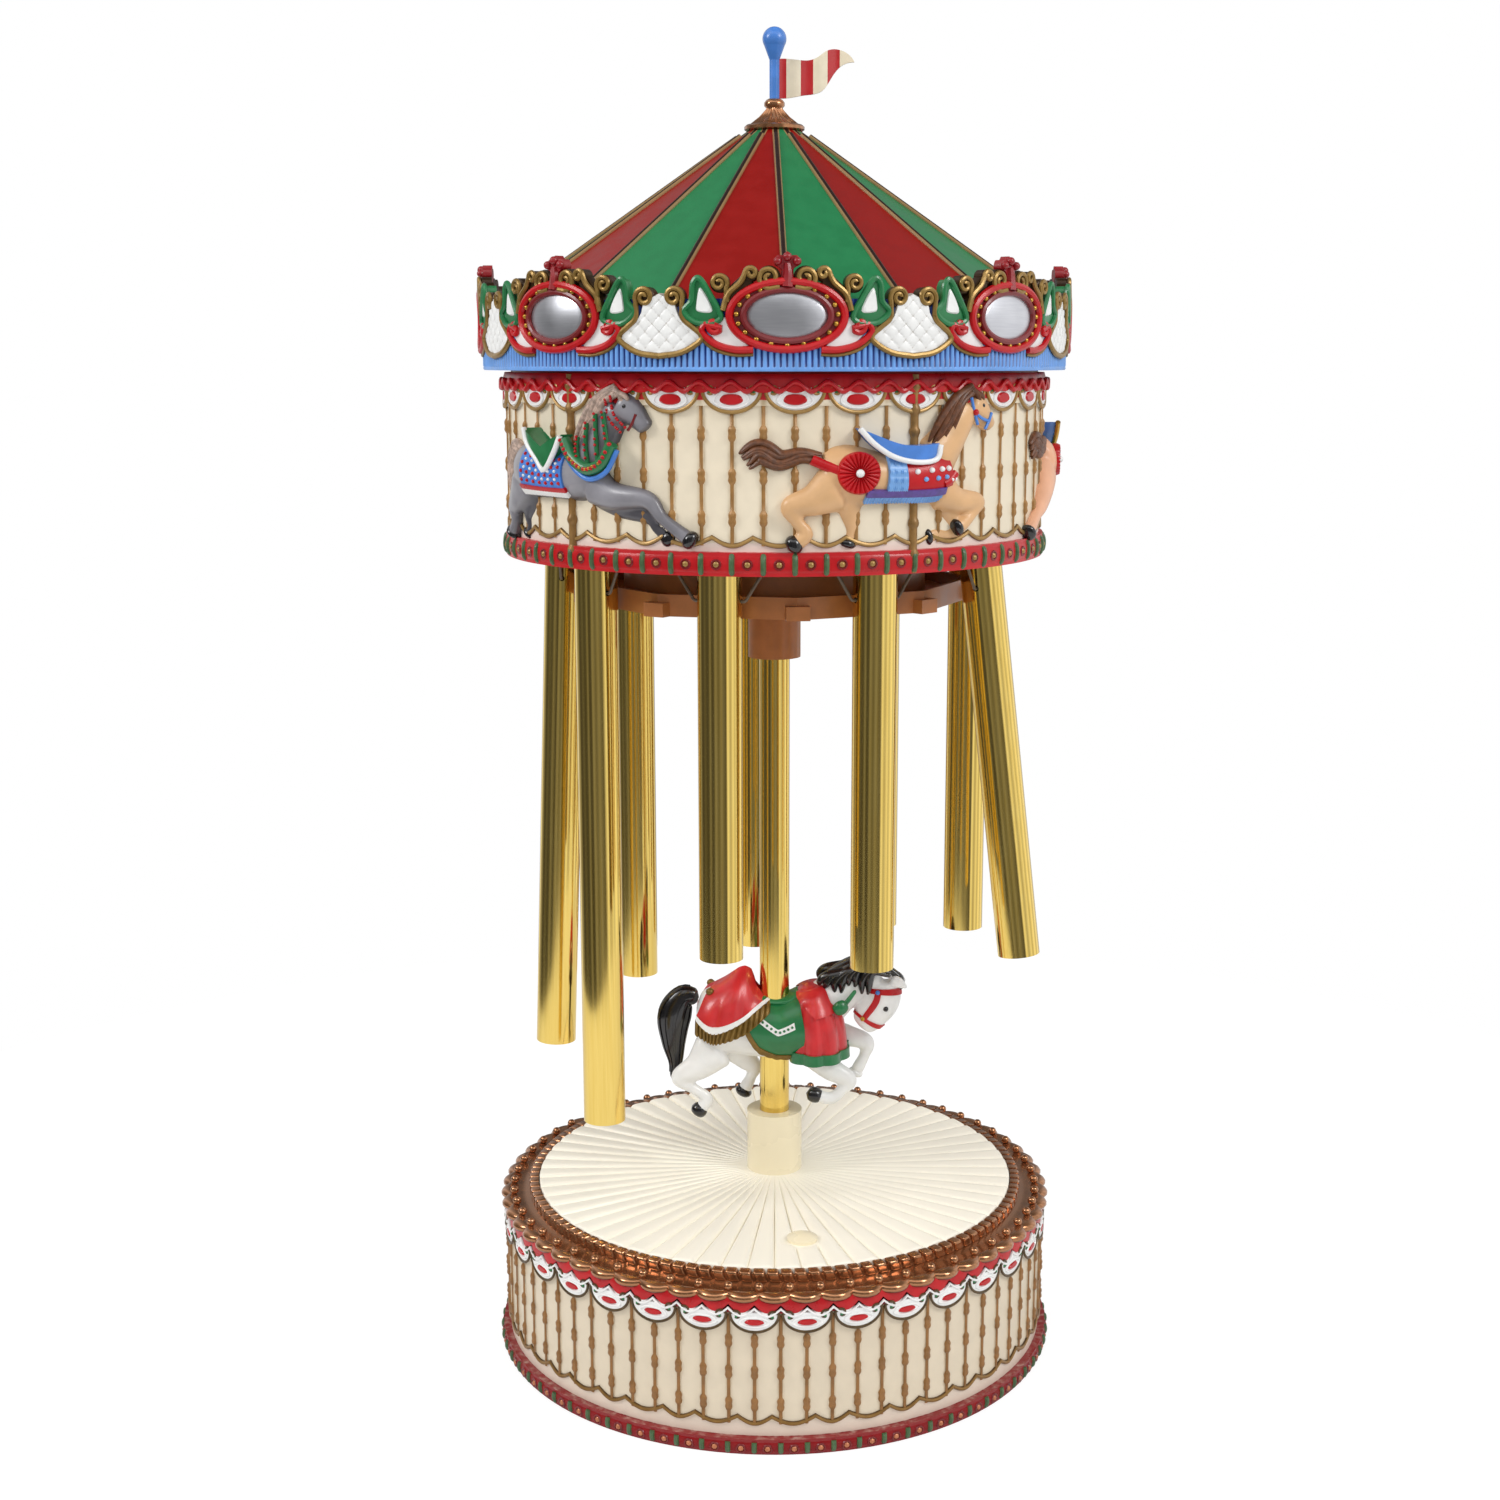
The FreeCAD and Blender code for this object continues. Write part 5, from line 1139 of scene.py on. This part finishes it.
def seat(tip, high, low):
    """A saddle seen from its side: a thick plate between an upper and a lower line, and a bar along the lower
    line."""
    upper = curve([tip, *high], 6)
    lower = curve([tip, *low], 6)
    body = plate(np.concatenate([upper, lower[:0:-1]]), 0.0, 5.6, edge=0.9, rings=6)
    return body, bead(lower, 0.75, 5.3)


def tan_trappings():
    """A pleated rosette on the rump, a blue saddle with a white edge, a red cloth with jewels, and purple
    straps."""
    petals, pearl = rosette(-16.8, 26.4, 5.4, 4.9)
    saddle, rim = seat(
        (-16.8, 37.6), [(-11.0, 35.2), (-5.0, 33.4), (1.0, 33.2), (4.8, 33.6)],
        [(-13.0, 33.6), (-8.0, 30.4), (-2.0, 29.0), (3.6, 29.6), (4.8, 33.2)])
    tail_line = curve([(-21.6, 27.0), (-25.0, 28.4), (-28.0, 29.8)], 6)
    tail_strap = bead(tail_line, 1.3, np.linspace(4.4, 1.6, 13), swell=0.6)
    fringe = TRUNK.patch(
        1.45, 3.3, 126.0, 144.0, high=0.6, rows=140, columns=8, ripple=fringe_ripple)
    return [
        (petals, red_paint), (pearl, white_paint), (tail_strap, red_paint), (saddle, blue_paint),
        (rim, white_paint),
        (TRUNK.patch(2.2, 3.8, 42.0, 114.0, high=0.45), red_paint),
        (TRUNK.patch(1.85, 2.28, 35.0, 116.0, high=0.8, ripple=lattice_ripple), pale_blue_paint),
        (TRUNK.patch(2.75, 3.98, 30.0, 50.0, high=1.0, rows=60, ripple=lattice_ripple), purple_paint),
        (TRUNK.patch(1.45, 3.4, 112.0, 127.0, high=0.95), purple_paint),
        (fringe, pale_blue_paint),
        (studs((2.5, 2.85, 3.2, 3.55), (76.0,), 0.8), white_paint),
        (studs((2.68, 3.02, 3.38), (92.0,), 0.7), pale_blue_paint),
        (strap([(3.3, 106.0), (3.7, 100.0), (4.0, 88.0)], 1.1), red_paint),
        (studs((3.7, 3.9), (100.0,), 0.6), white_paint),
        (bridle(), blue_paint), (ball(17.3, 41.2, 0.85, 3.7), red_paint)]


def bridle():
    """Straps on the head: a cheek strap, a noseband and a bar between them."""
    lines = [CHEEK_STRAP, NOSEBAND, [CHEEK_STRAP[1], (20.0, 39.6), NOSEBAND[1]]]
    return gather([bead(curve(line, 6), 0.42, 3.3) for line in lines])


def grey_trappings():
    """A green saddle with a white edge, a blue cloth with red beads and a white hem, a garland across the
    chest with beaded strands on the neck, and a bridle of two red lines."""
    saddle, rim = seat(
        (-14.6, 36.8), [(-10.6, 33.8), (-6.0, 31.6), (-2.0, 34.4), (1.0, 35.4)],
        [(-13.0, 32.8), (-8.6, 28.6), (-5.4, 26.0), (-1.6, 30.4), (1.0, 35.0)])
    garland = [(1.2, 34.0), (4.4, 29.6), (9.6, 26.8), (14.6, 28.4), (18.0, 33.4)]
    lower = [(1.0, 31.4), (5.0, 26.8), (10.2, 24.2), (15.8, 26.2), (19.4, 31.8)]
    strands = [
        [(6.4, 35.0), (6.0, 32.0), (6.6, 28.8)], [(9.4, 38.6), (9.0, 33.0), (9.6, 27.6)],
        [(12.2, 41.0), (12.4, 34.6), (12.8, 28.4)], [(14.6, 41.4), (15.4, 36.0), (16.0, 31.0)]]
    reins = [
        [(14.6, 44.6), (16.0, 39.6), (19.4, 36.4)], [(16.2, 45.4), (17.4, 40.8), (20.8, 37.6)]]
    rise = np.linspace(4.0, 5.2, 33)
    hem = TRUNK.patch(1.15, 2.75, 125.0, 138.0, high=0.6, rows=120, columns=8, ripple=fringe_ripple)
    return [
        (saddle, green_paint), (rim, white_paint),
        (TRUNK.patch(1.2, 2.7, 40.0, 122.0, high=0.5), blue_paint),
        (studs(np.linspace(1.3, 2.6, 7), (58.0, 74.0, 90.0, 106.0), 0.55), red_paint),
        (studs(np.linspace(1.4, 2.5, 6), (66.0, 82.0, 98.0), 0.45), white_paint),
        (TRUNK.patch(1.15, 2.75, 116.0, 126.0, high=0.8), red_paint), (hem, white_paint),
        (bead(curve(garland, 8), 1.7, rise), green_paint), (bead(curve(lower, 8), 0.7, rise), blue_paint),
        (beaded(garland, (5.4, 6.6), 0.62, 15), red_paint),
        (beaded(garland[1:-1], (5.8, 6.4), 0.5, 8), bright_gold),
        (gather([bead(curve(line, 8), 0.6, 4.2) for line in strands]), green_paint),
        (gather([beaded(line, (4.8, 5.0), 0.42, 7) for line in strands]), red_paint),
        (gather([beaded(line, (3.2, 3.6), 0.42, 12) for line in reins]), red_paint),
        (bead(curve(NOSEBAND, 6), 0.4, 3.0), dark_red_paint)]


def plain_trappings(cloth, hem, saddle_paint):
    """A cloth with a fringe and a white line, a saddle, a rosette on the rump, a breast strap with jewels, a
    bridle."""
    petals, pearl = rosette(-16.8, 26.4, 4.6, 4.9)
    saddle, rim = seat(
        (-15.6, 37.0), [(-10.6, 34.8), (-5.0, 33.2), (1.0, 33.2), (4.8, 34.6)],
        [(-12.4, 33.4), (-8.0, 30.4), (-2.0, 29.2), (3.4, 29.8), (4.8, 34.2)])
    fringe = TRUNK.patch(
        1.58, 3.32, 120.0, 142.0, high=0.6, rows=140, columns=8, ripple=fringe_ripple)
    return [
        (petals, hem), (pearl, white_paint), (saddle, saddle_paint), (rim, bright_gold),
        (TRUNK.patch(1.6, 3.3, 30.0, 124.0, high=0.5), cloth),
        (TRUNK.patch(1.58, 3.32, 104.0, 112.0, high=0.75), white_paint), (fringe, hem),
        (studs(np.linspace(1.8, 3.1, 6), (92.0,), 0.7), bright_gold),
        (strap([(3.2, 40.0), (3.6, 80.0), (4.0, 100.0)], 1.2), cloth),
        (studs((3.35, 3.55, 3.8), (60.0,), 0.6), white_paint),
        (bridle(), saddle_paint), (ball(17.3, 41.2, 0.8, 3.7), bright_gold)]


def relief_horse(number, angle, gait, slot, coat, hair, trappings):
    """One relief horse on the drum: a melted body, hair in locks, hooves, an eye, its trappings and its
    pole."""
    name = f"relief_{number}"
    back = -1.6
    limbs = [TRUNK, *HEAD] + [Limb(*stations) for stations in LEGS[gait]]
    skin = melt(f"{name}_clay", [limb.closed() for limb in limbs], voxel=0.5, rounds=6)
    skin[0][:, 2] = np.maximum(skin[0][:, 2], back)
    levels = np.linspace(0.2, 51.0, 80)
    rings = sum(np.exp(-((levels - knot) / 0.9) ** 4) for knot in (5.0, 13.0, 36.5, 42.0, 48.0))
    pole = bead(upright(levels), 1.1 + 0.45 * rings, 0.4)
    mane_line = [(17.6, 47.4), (13.0, 44.6), (9.2, 38.8), (5.2, 32.6)]
    mane = locks(mane_line, (-2.6, -1.3, 0.0, 1.3, 2.4), 1.15, 2.2)
    fore = locks([(16.6, 47.0), (19.2, 45.8), (20.6, 43.8)], (-0.5, 0.5), 0.8, 2.6)
    tail = locks(TAILS[gait], (-2.4, -1.2, 0.0, 1.2, 2.3), 1.25, 0.7)
    layers = [
        (skin, coat), (pole, bamboo_paint), (gather([mane, fore, tail]), hair),
        (ball(20.4, 42.9, 0.62, 3.2), black_paint),
        (gather([hoof(stations) for stations in LEGS[gait]]), black_paint), *trappings]
    wrapped = [
        (on_wall(moved(shape, 0.0, DRUM_LOW), [angle], DRUM_RADIUS), finish) for shape, finish in layers]
    piece(name, "base", slot, wrapped, [f"relief_horse_{number}"], sharp=50.0)


# Angle, gait, slot, coat, hair and trappings of each
RELIEF = [
    (-44.1, "leap", "grey_paint", grey_coat, silver_hair, grey_trappings()),
    (27.9, "trot", "tan_paint", tan_coat, brown_hair, tan_trappings()),
    (99.9, "gallop", "peach_paint", peach_coat, brown_hair,
     plain_trappings(green_paint, red_paint, blue_paint)),
    (171.9, "leap", "chestnut_paint", chestnut_coat, brown_hair,
     plain_trappings(blue_paint, white_paint, red_paint)),
    (243.9, "trot", "ivory_paint", ivory_coat, silver_hair,
     plain_trappings(red_paint, blue_paint, green_paint)),
]
for number, row in enumerate(RELIEF, 1):
    relief_horse(number, *row)


# The white horse on the pole; out is towards the viewer

HORSE_LEVEL = 68.8


def standing(shape):
    """Horse work (along, up, out) set upright on the pole: along is +X, out is -Y, and up counts from its
    level."""
    along, up, out = shape[0].T
    return np.stack([along, -out, up + HORSE_LEVEL], axis=-1), shape[1]


BODY = Limb((-24.0, 29.5, 0.0, 6.5, 6.5), (-17.0, 29.2, 0.0, 10.4, 9.6), (-8.0, 27.0, 0.0, 9.6, 9.4),
            (2.0, 26.0, 0.0, 9.2, 9.2), (11.0, 27.4, 0.0, 10.4, 9.6), (17.5, 28.5, 0.0, 8.2, 7.6))
NECK = Limb((12.5, 31.0, 0.0, 8.0, 6.3), (19.5, 37.4, 0.0, 6.8, 4.9), (26.5, 42.2, 0.0, 5.4, 3.9),
            (32.5, 41.0, 0.0, 4.6, 3.6))
FACE = Limb((33.2, 41.4, 0.0, 4.8, 3.6), (32.6, 35.0, 0.0, 5.8, 3.8), (29.0, 29.6, 0.0, 5.0, 3.2),
            (25.9, 26.4, 0.0, 3.6, 2.8))
SKIRT = Limb((10.2, 40.4, 0.0, 0.3, 0.4), (10.4, 39.4, 0.0, 3.0, 4.4), (11.2, 36.6, 0.0, 5.0, 7.8),
             (12.2, 31.0, 0.0, 7.4, 10.4), (13.0, 24.4, 0.0, 8.0, 11.0), (13.2, 18.6, 0.0, 8.2, 11.4))
# Near hind, far hind, near fore and far fore leg
WHITE_LEGS = [
    [(-17.0, 22.0, 4.5, 7.5, 4.2), (-23.0, 15.5, 5.0, 4.6, 3.2), (-29.0, 11.6, 5.0, 2.6, 2.1),
     (-24.5, 8.0, 5.0, 1.7, 1.6), (-20.5, 4.8, 5.0, 1.9, 1.8), (-23.2, 1.0, 5.0, 2.1, 2.0)],
    [(-13.0, 20.0, -4.5, 6.5, 4.0), (-9.0, 14.5, -5.0, 3.8, 2.8), (-6.4, 11.4, -5.0, 2.5, 2.0),
     (-7.2, 8.4, -5.6, 1.7, 1.6), (-8.0, 6.3, -6.2, 1.9, 1.8), (-9.7, 3.0, -6.6, 2.2, 2.1)],
    [(11.0, 21.0, 4.8, 5.5, 3.6), (17.0, 14.5, 5.0, 3.7, 2.8), (22.6, 11.0, 5.0, 2.6, 2.2),
     (20.4, 7.6, 5.0, 1.8, 1.7), (17.2, 5.0, 5.0, 1.9, 1.8), (11.8, 6.2, 5.0, 2.0, 1.9)],
    [(15.0, 23.0, -4.8, 5.0, 3.4), (23.0, 21.5, -5.0, 3.4, 2.6), (28.4, 19.4, -5.0, 2.5, 2.2),
     (27.8, 15.4, -5.0, 1.7, 1.6), (26.2, 12.0, -5.0, 1.9, 1.8), (25.0, 9.6, -5.0, 1.9, 1.8)]]


def both_sides(shape):
    """The shape with its reflection to the other side of the horse."""
    points, faces = shape
    return gather([shape, (points * np.array([1.0, 1.0, -1.0]), faces)])


def folds(count, height):
    """A ripple for cloth: the size of a sine with this many folds along, deeper towards the hem."""
    def ripple(along, around):
        """The height at a share along and a share around."""
        return height * np.abs(np.sin(math.pi * count * along)) * (0.25 + 0.75 * around ** 2)
    return ripple


def horse_hair():
    """The white horse's hair: a tail with curls, a mane in locks on both sides of a crest, and a forelock."""
    tail = Limb(
        (-23.0, 35.6, 0.0, 2.2, 2.0), (-27.6, 35.6, 0.0, 3.6, 3.0), (-30.6, 30.0, 0.0, 5.0, 3.6),
        (-30.9, 22.0, 0.0, 3.6, 2.8), (-30.4, 15.0, 0.0, 1.9, 1.6), (-31.6, 9.6, 0.0, 0.6, 0.6))
    curls = [
        tail.patch(0.6, 4.6, start, start + 16.0, low=-0.8, high=0.35, columns=5)
        for start in range(10, 171, 27)]
    mane_lines = [
        [(35.0, 44.6), (30.0, 45.4), (27.8, 42.4), (27.2, 38.0)],
        [(31.0, 46.0), (26.0, 46.0), (23.8, 43.2), (23.2, 40.4)],
        [(28.0, 46.4), (22.4, 45.0), (19.6, 41.6), (19.0, 38.2)],
        [(24.0, 45.6), (18.4, 44.0), (15.4, 42.2), (14.0, 40.2)]]
    manes = [
        moved(locks(line, (-1.0, 0.9), 1.5, 0.0), 0.0, 0.0, 4.6 - 0.2 * rank)
        for rank, line in enumerate(mane_lines)]
    crest = Limb(
        (13.0, 39.5, 0.0, 1.6, 2.6), (20.0, 44.4, 0.0, 2.2, 3.6), (27.0, 47.2, 0.0, 2.0, 3.4),
        (34.0, 45.2, 0.0, 1.4, 2.4))
    forelock = moved(
        locks([(34.4, 45.0), (37.6, 42.4), (37.4, 38.6)], (-0.8, 0.8), 1.1, 0.0), 0.0, 0.0, 1.6)
    both_manes = [both_sides(shape) for shape in manes]
    return gather([tail.closed(), both_sides(gather(curls)), *both_manes, crest.closed(), forelock])


def rump_cloth():
    """The layers of the rump cloth: a red drape, a white edge and a gold fringe. Each hem is a cubic through
    angles at shares along the body."""
    shares = (0.06, 0.43, 0.61, 0.76, 0.88, 1.0)
    red_hem, white_hem, gold_hem = (
        np.poly1d(np.polyfit(shares, angles, 3)) for angles in (
            (80.0, 89.0, 74.0, 55.0, 36.0, 17.0), (89.0, 96.0, 81.0, 61.0, 43.0, 24.0),
            (118.0, 114.0, 106.0, 85.0, 68.0, 49.0)))

    def drape(along, around):
        """The cloth swells towards its front, most on the spine, and hangs in folds that deepen towards the
        hem."""
        rise = np.clip((along - 0.1) / 0.65, 0.0, 1.0)
        swell = 6.4 * rise ** 2 * (3.0 - 2.0 * rise) * (1.0 - around) ** 1.3
        return swell + folds(3.0, 0.7)(along, around)

    def ridges(along, around):
        """The threads of the fringe: the size of a sine along it."""
        return 0.7 * np.abs(np.sin(math.pi * 16 * along)) + 0.0 * around

    yield BODY.patch(
        lambda w: 0.74 - 0.7 * w, lambda w: 1.62 + 0.93 * w, 0.0, red_hem, high=0.9, rows=40, columns=32,
        ripple=drape), cape_red
    yield BODY.patch(0.02, 2.57, lambda s: red_hem(s) - 3.0, white_hem, high=1.9), white_paint
    yield BODY.patch(
        0.0, 2.6, lambda s: white_hem(s) - 1.0, gold_hem, high=1.3, rows=160, columns=10,
        ripple=ridges), gold_paint


def saddle_cloth():
    """The layers of the saddle cloth: green with a gold hem, and a white band in a vee with green dots."""
    def hem(share):
        """The angle of the hem at a share along the cloth."""
        return np.interp(share, (0.0, 0.25, 0.5, 1.0), (86.0, 120.0, 137.0, 139.0))

    def vee(share):
        """The angle of the band's upper edge at a share along the band."""
        return np.interp(share, (0.0, 0.5, 1.0), (57.5, 76.5, 68.0))

    yield BODY.patch(1.95, 3.8, 0.0, hem, high=0.8), green_paint
    yield BODY.patch(
        1.92, 3.82, lambda s: hem(s) - 9.0, lambda s: hem(s) + 4.0, high=1.15, rows=60, columns=8,
        ripple=folds(9, 0.25)), gold_paint
    yield BODY.patch(2.3, 3.5, vee, lambda s: vee(s) + 11.0, high=1.15), white_paint
    dot_share = np.linspace(0.08, 0.92, 8)
    dots = BODY.surface(2.3 + 1.2 * dot_share, vee(dot_share) + 5.5, 1.2)
    yield gather([ball(*spot[:2], 0.42, spot[2]) for spot in dots]), green_paint


def cape():
    """The layers of the front cape, which goes round the chest: a red skirt in folds, and a green hem."""
    def hang(along, around):
        """Folds of a hanging cloth: nine to the turn, deeper towards the hem."""
        return 1.1 * along * np.abs(np.sin(9.0 * math.pi * around))

    yield SKIRT.patch(
        0.0, 5.0, 0.0, 360.0, low=-0.5, high=0.3, rows=48, columns=145, ripple=hang), cape_red
    yield SKIRT.patch(
        4.6, 5.15, 0.0, 360.0, low=-0.7, high=0.9, rows=8, columns=145,
        ripple=lambda s, w: hang(1.0 + 0.0 * s, w)), green_paint


def bridle_and_bow():
    """The layers at the head: a cloth on the shoulder, a green bow with its ribbon, red straps, and beads for
    a jewel, a ring and the eye."""
    yield SKIRT.patch(
        1.0, 2.8, lambda s: 30.0 + 15.0 * s, lambda s: 150.0 - 62.0 * s, high=1.5,
        ripple=folds(1.5, 0.5)), cape_red
    bow = Limb((18.0, 33.2, 7.4, 1.6, 1.2), (20.0, 34.6, 7.6, 2.2, 1.5), (21.8, 35.8, 6.8, 1.5, 1.0))
    ribbon = Limb((20.8, 35.0, 7.0, 0.8, 0.7), (22.8, 37.2, 6.2, 0.7, 0.6), (24.6, 39.4, 5.2, 0.6, 0.5))
    yield gather([bow.closed(), ribbon.closed()]), green_paint
    straps = [
        FACE.patch(0.35, 0.62, 0.0, 180.0, high=0.35, rows=6),
        FACE.patch(lambda w: 1.85 + 0.5 * w, lambda w: 2.1 + 0.5 * w, 0.0, 180.0, high=0.35, rows=6),
        FACE.patch(0.5, 2.3, 98.0, 117.0, high=0.35, columns=6)]
    yield gather(straps), red_paint
    for place, around, lift, size, paint in (
            (0.5, 108.0, 0.5, 0.75, blue_paint), (2.3, 110.0, 0.5, 0.75, bright_gold),
            (1.2, 70.0, 0.0, 0.85, black_paint)):
        spot = FACE.surface(place, around, lift)
        yield ball(*spot[:2], size, spot[2]), paint


def white_horse():
    """The layers of the white horse: a melted body, hooves, hair, a rump cloth with a fringe, a saddle cloth
    with a dotted band, a saddle, a front cape with a green hem, a bridle, and a flower on the rump."""
    ears = [
        Limb((35.4, 42.4, side, 1.7, 1.1), (38.0, 40.9, 1.25 * side, 1.7, 0.9),
             (40.6, 39.2, 1.35 * side, 0.4, 0.3))
        for side in (-2.4, 2.4)]
    limbs = [BODY, NECK, FACE, *ears] + [Limb(*stations) for stations in WHITE_LEGS]
    skin = melt("white_clay", [limb.closed(sides=24) for limb in limbs], voxel=0.5, rounds=6)
    yield skin, white_paint
    yield gather([hoof(stations) for stations in WHITE_LEGS[:3]]), black_paint
    yield hoof(WHITE_LEGS[3]), white_paint
    yield horse_hair(), black_paint
    for shape, paint in (*rump_cloth(), *saddle_cloth()):
        yield both_sides(shape), paint
    saddle = Limb(
        (-6.0, 36.6, 0.0, 1.4, 4.4), (-2.0, 35.4, 0.0, 1.8, 5.4), (4.0, 35.4, 0.0, 1.8, 5.2),
        (8.6, 37.6, 0.0, 1.8, 4.2))
    yield saddle.closed(), green_paint
    yield from cape()
    for shape, paint in bridle_and_bow():
        yield both_sides(shape), paint
    flower = BODY.surface(0.62, 28.0, 1.2)
    yield both_sides(ball(*flower[:2], 1.3, flower[2])), gold_paint


horse_layers = [(standing(shape), finish) for shape, finish in white_horse()]
piece("white_horse_figure", "horse", "white_paint", horse_layers, ["white_horse"], sharp=50.0)


# Floor, light and camera, with lengths in metres

def floor_material():
    """A pale floor that the camera sees as white with the object's shadow: light of its own for camera
    rays."""
    made = bpy.data.materials.new("floor")
    tree = empty_tree(made)
    path = Wire(tree, tree.nodes.new("ShaderNodeLightPath").outputs["Is Camera Ray"])
    pale = path.node("ShaderNodeBsdfDiffuse", {}, {"Color": (0.86, 0.86, 0.86, 1.0)})
    glow = path.node("ShaderNodeEmission", {}, {"Color": (1.0, 1.0, 1.0, 1.0), "Strength": 1.12})
    seen = path.node("ShaderNodeMixShader", {}, {0: path * 0.75, 1: pale, 2: glow})
    path.node("ShaderNodeOutputMaterial", {}, {"Surface": seen})
    return made


def floor():
    """A round sheet under the object."""
    reach = 0.42
    turn = full_turn(96)[:, 0]
    edge = np.stack([reach * np.cos(turn), reach * np.sin(turn), 0.0 * turn], axis=-1)
    mesh = bpy.data.meshes.new("floor")
    mesh.from_pydata(edge, [], [list(range(len(edge)))])
    mesh.materials.append(floor_material())
    made = put("floor", mesh)


def lamp(name, place, target, size, power, mirrored_too=True):
    """A soft square lamp at a place that faces a target, with or without its image in shiny parts."""
    light = bpy.data.lights.new(name, "AREA")
    light.shape = "SQUARE"
    light.size = size
    light.energy = power
    made = put(name, light)
    made.location = place
    made.visible_glossy = mirrored_too
    way = np.array(target) - np.array(place)
    flat = math.hypot(way[0], way[1])
    made.rotation_euler = (math.atan2(flat, -way[2]), 0.0, math.atan2(-way[0], way[1]))


def surroundings():
    """White all round for the camera and for glass. Diffuse light is stronger from above. Mirrors see a room
    that is dim in front and on the left and bright on the right, by the direction's angle from the front, and
    dim overhead."""
    world = bpy.data.worlds.new("room")
    tree = empty_tree(world)
    light = tree.nodes.new("ShaderNodeLightPath")
    seen, glossy, through = (
        Wire(tree, light.outputs[name]) for name in ("Is Camera Ray", "Is Glossy Ray", "Is Transmission Ray"))
    way = Wire(tree, tree.nodes.new("ShaderNodeTexCoord").outputs["Generated"])
    x, y, up = (way.axis(name) * MM for name in "XYZ")
    turn = x.math("ARCTAN2", y * -1.0) * (180.0 / math.pi)
    post = 0.3 * turn.slope(50.0, 56.0) * (1.0 - turn.slope(64.0, 74.0))
    right = turn.slope(30.0, 42.0) * (1.0 - 0.8 * turn.slope(140.0, 165.0)) * (1.0 - post)
    left = turn.slope(-175.0, -150.0) * (1.0 - turn.slope(-140.0, -105.0)) * 0.7
    front = turn.slope(-32.0, -24.0) * (1.0 - turn.slope(24.0, 30.0)) * 0.12
    glint = turn.slope(-58.0, -52.0) * (1.0 - turn.slope(-48.0, -42.0)) * 0.08
    walls = 0.1 + (right * 0.85 + left + front + glint)
    overhead = up.slope(0.45, 0.8)
    stripes = 1.0 + 0.25 * (turn * 0.21).math("SINE")
    window = up.slope(0.55, 0.7) * (1.0 - up.slope(0.88, 0.95)) * (y * -1.0).slope(0.1, 0.3)
    ceiling = overhead * (0.12 + 0.75 * (x * -1.0).slope(0.2, 0.6))
    mirrored_room = walls * stripes * (1.0 - overhead) + ceiling + window * 1.4
    spread = 0.44 + 0.42 * up.slope(0.0, 1.0)
    white = seen.math("MAXIMUM", through)
    strength = white + (1.0 - white) * (glossy * mirrored_room + (1.0 - glossy) * spread)
    ground = way.node("ShaderNodeBackground", {}, {"Color": (1.0, 1.0, 1.0, 1.0), "Strength": strength})
    way.node("ShaderNodeOutputWorld", {}, {"Surface": ground})
    bpy.context.scene.world = world


def camera():
    """The camera of the photograph: straight in front, a little above, tilted down."""
    lens = bpy.data.cameras.new("camera")
    lens.lens = 49.77
    lens.sensor_width = 36.0
    lens.shift_x = -0.0163
    made = put("camera", lens)
    made.location = (0.0, -0.60749, 0.29585)
    made.rotation_euler = (math.radians(79.30), 0.0, 0.0)
    bpy.context.scene.camera = made


floor()
surroundings()
camera()
LOW_MIDDLE = (0.0, 0.0, 0.2)
lamp("key", (0.7, -0.5, 0.8), LOW_MIDDLE, size=0.35, power=4.0)
lamp("left", (-0.75, -0.3, 0.7), LOW_MIDDLE, size=0.3, power=3.2)
lamp("front", (-0.15, -1.0, 0.45), (0.0, 0.0, 0.25), size=0.5, power=1.6, mirrored_too=False)
bpy.context.scene.view_settings.view_transform = "Standard"
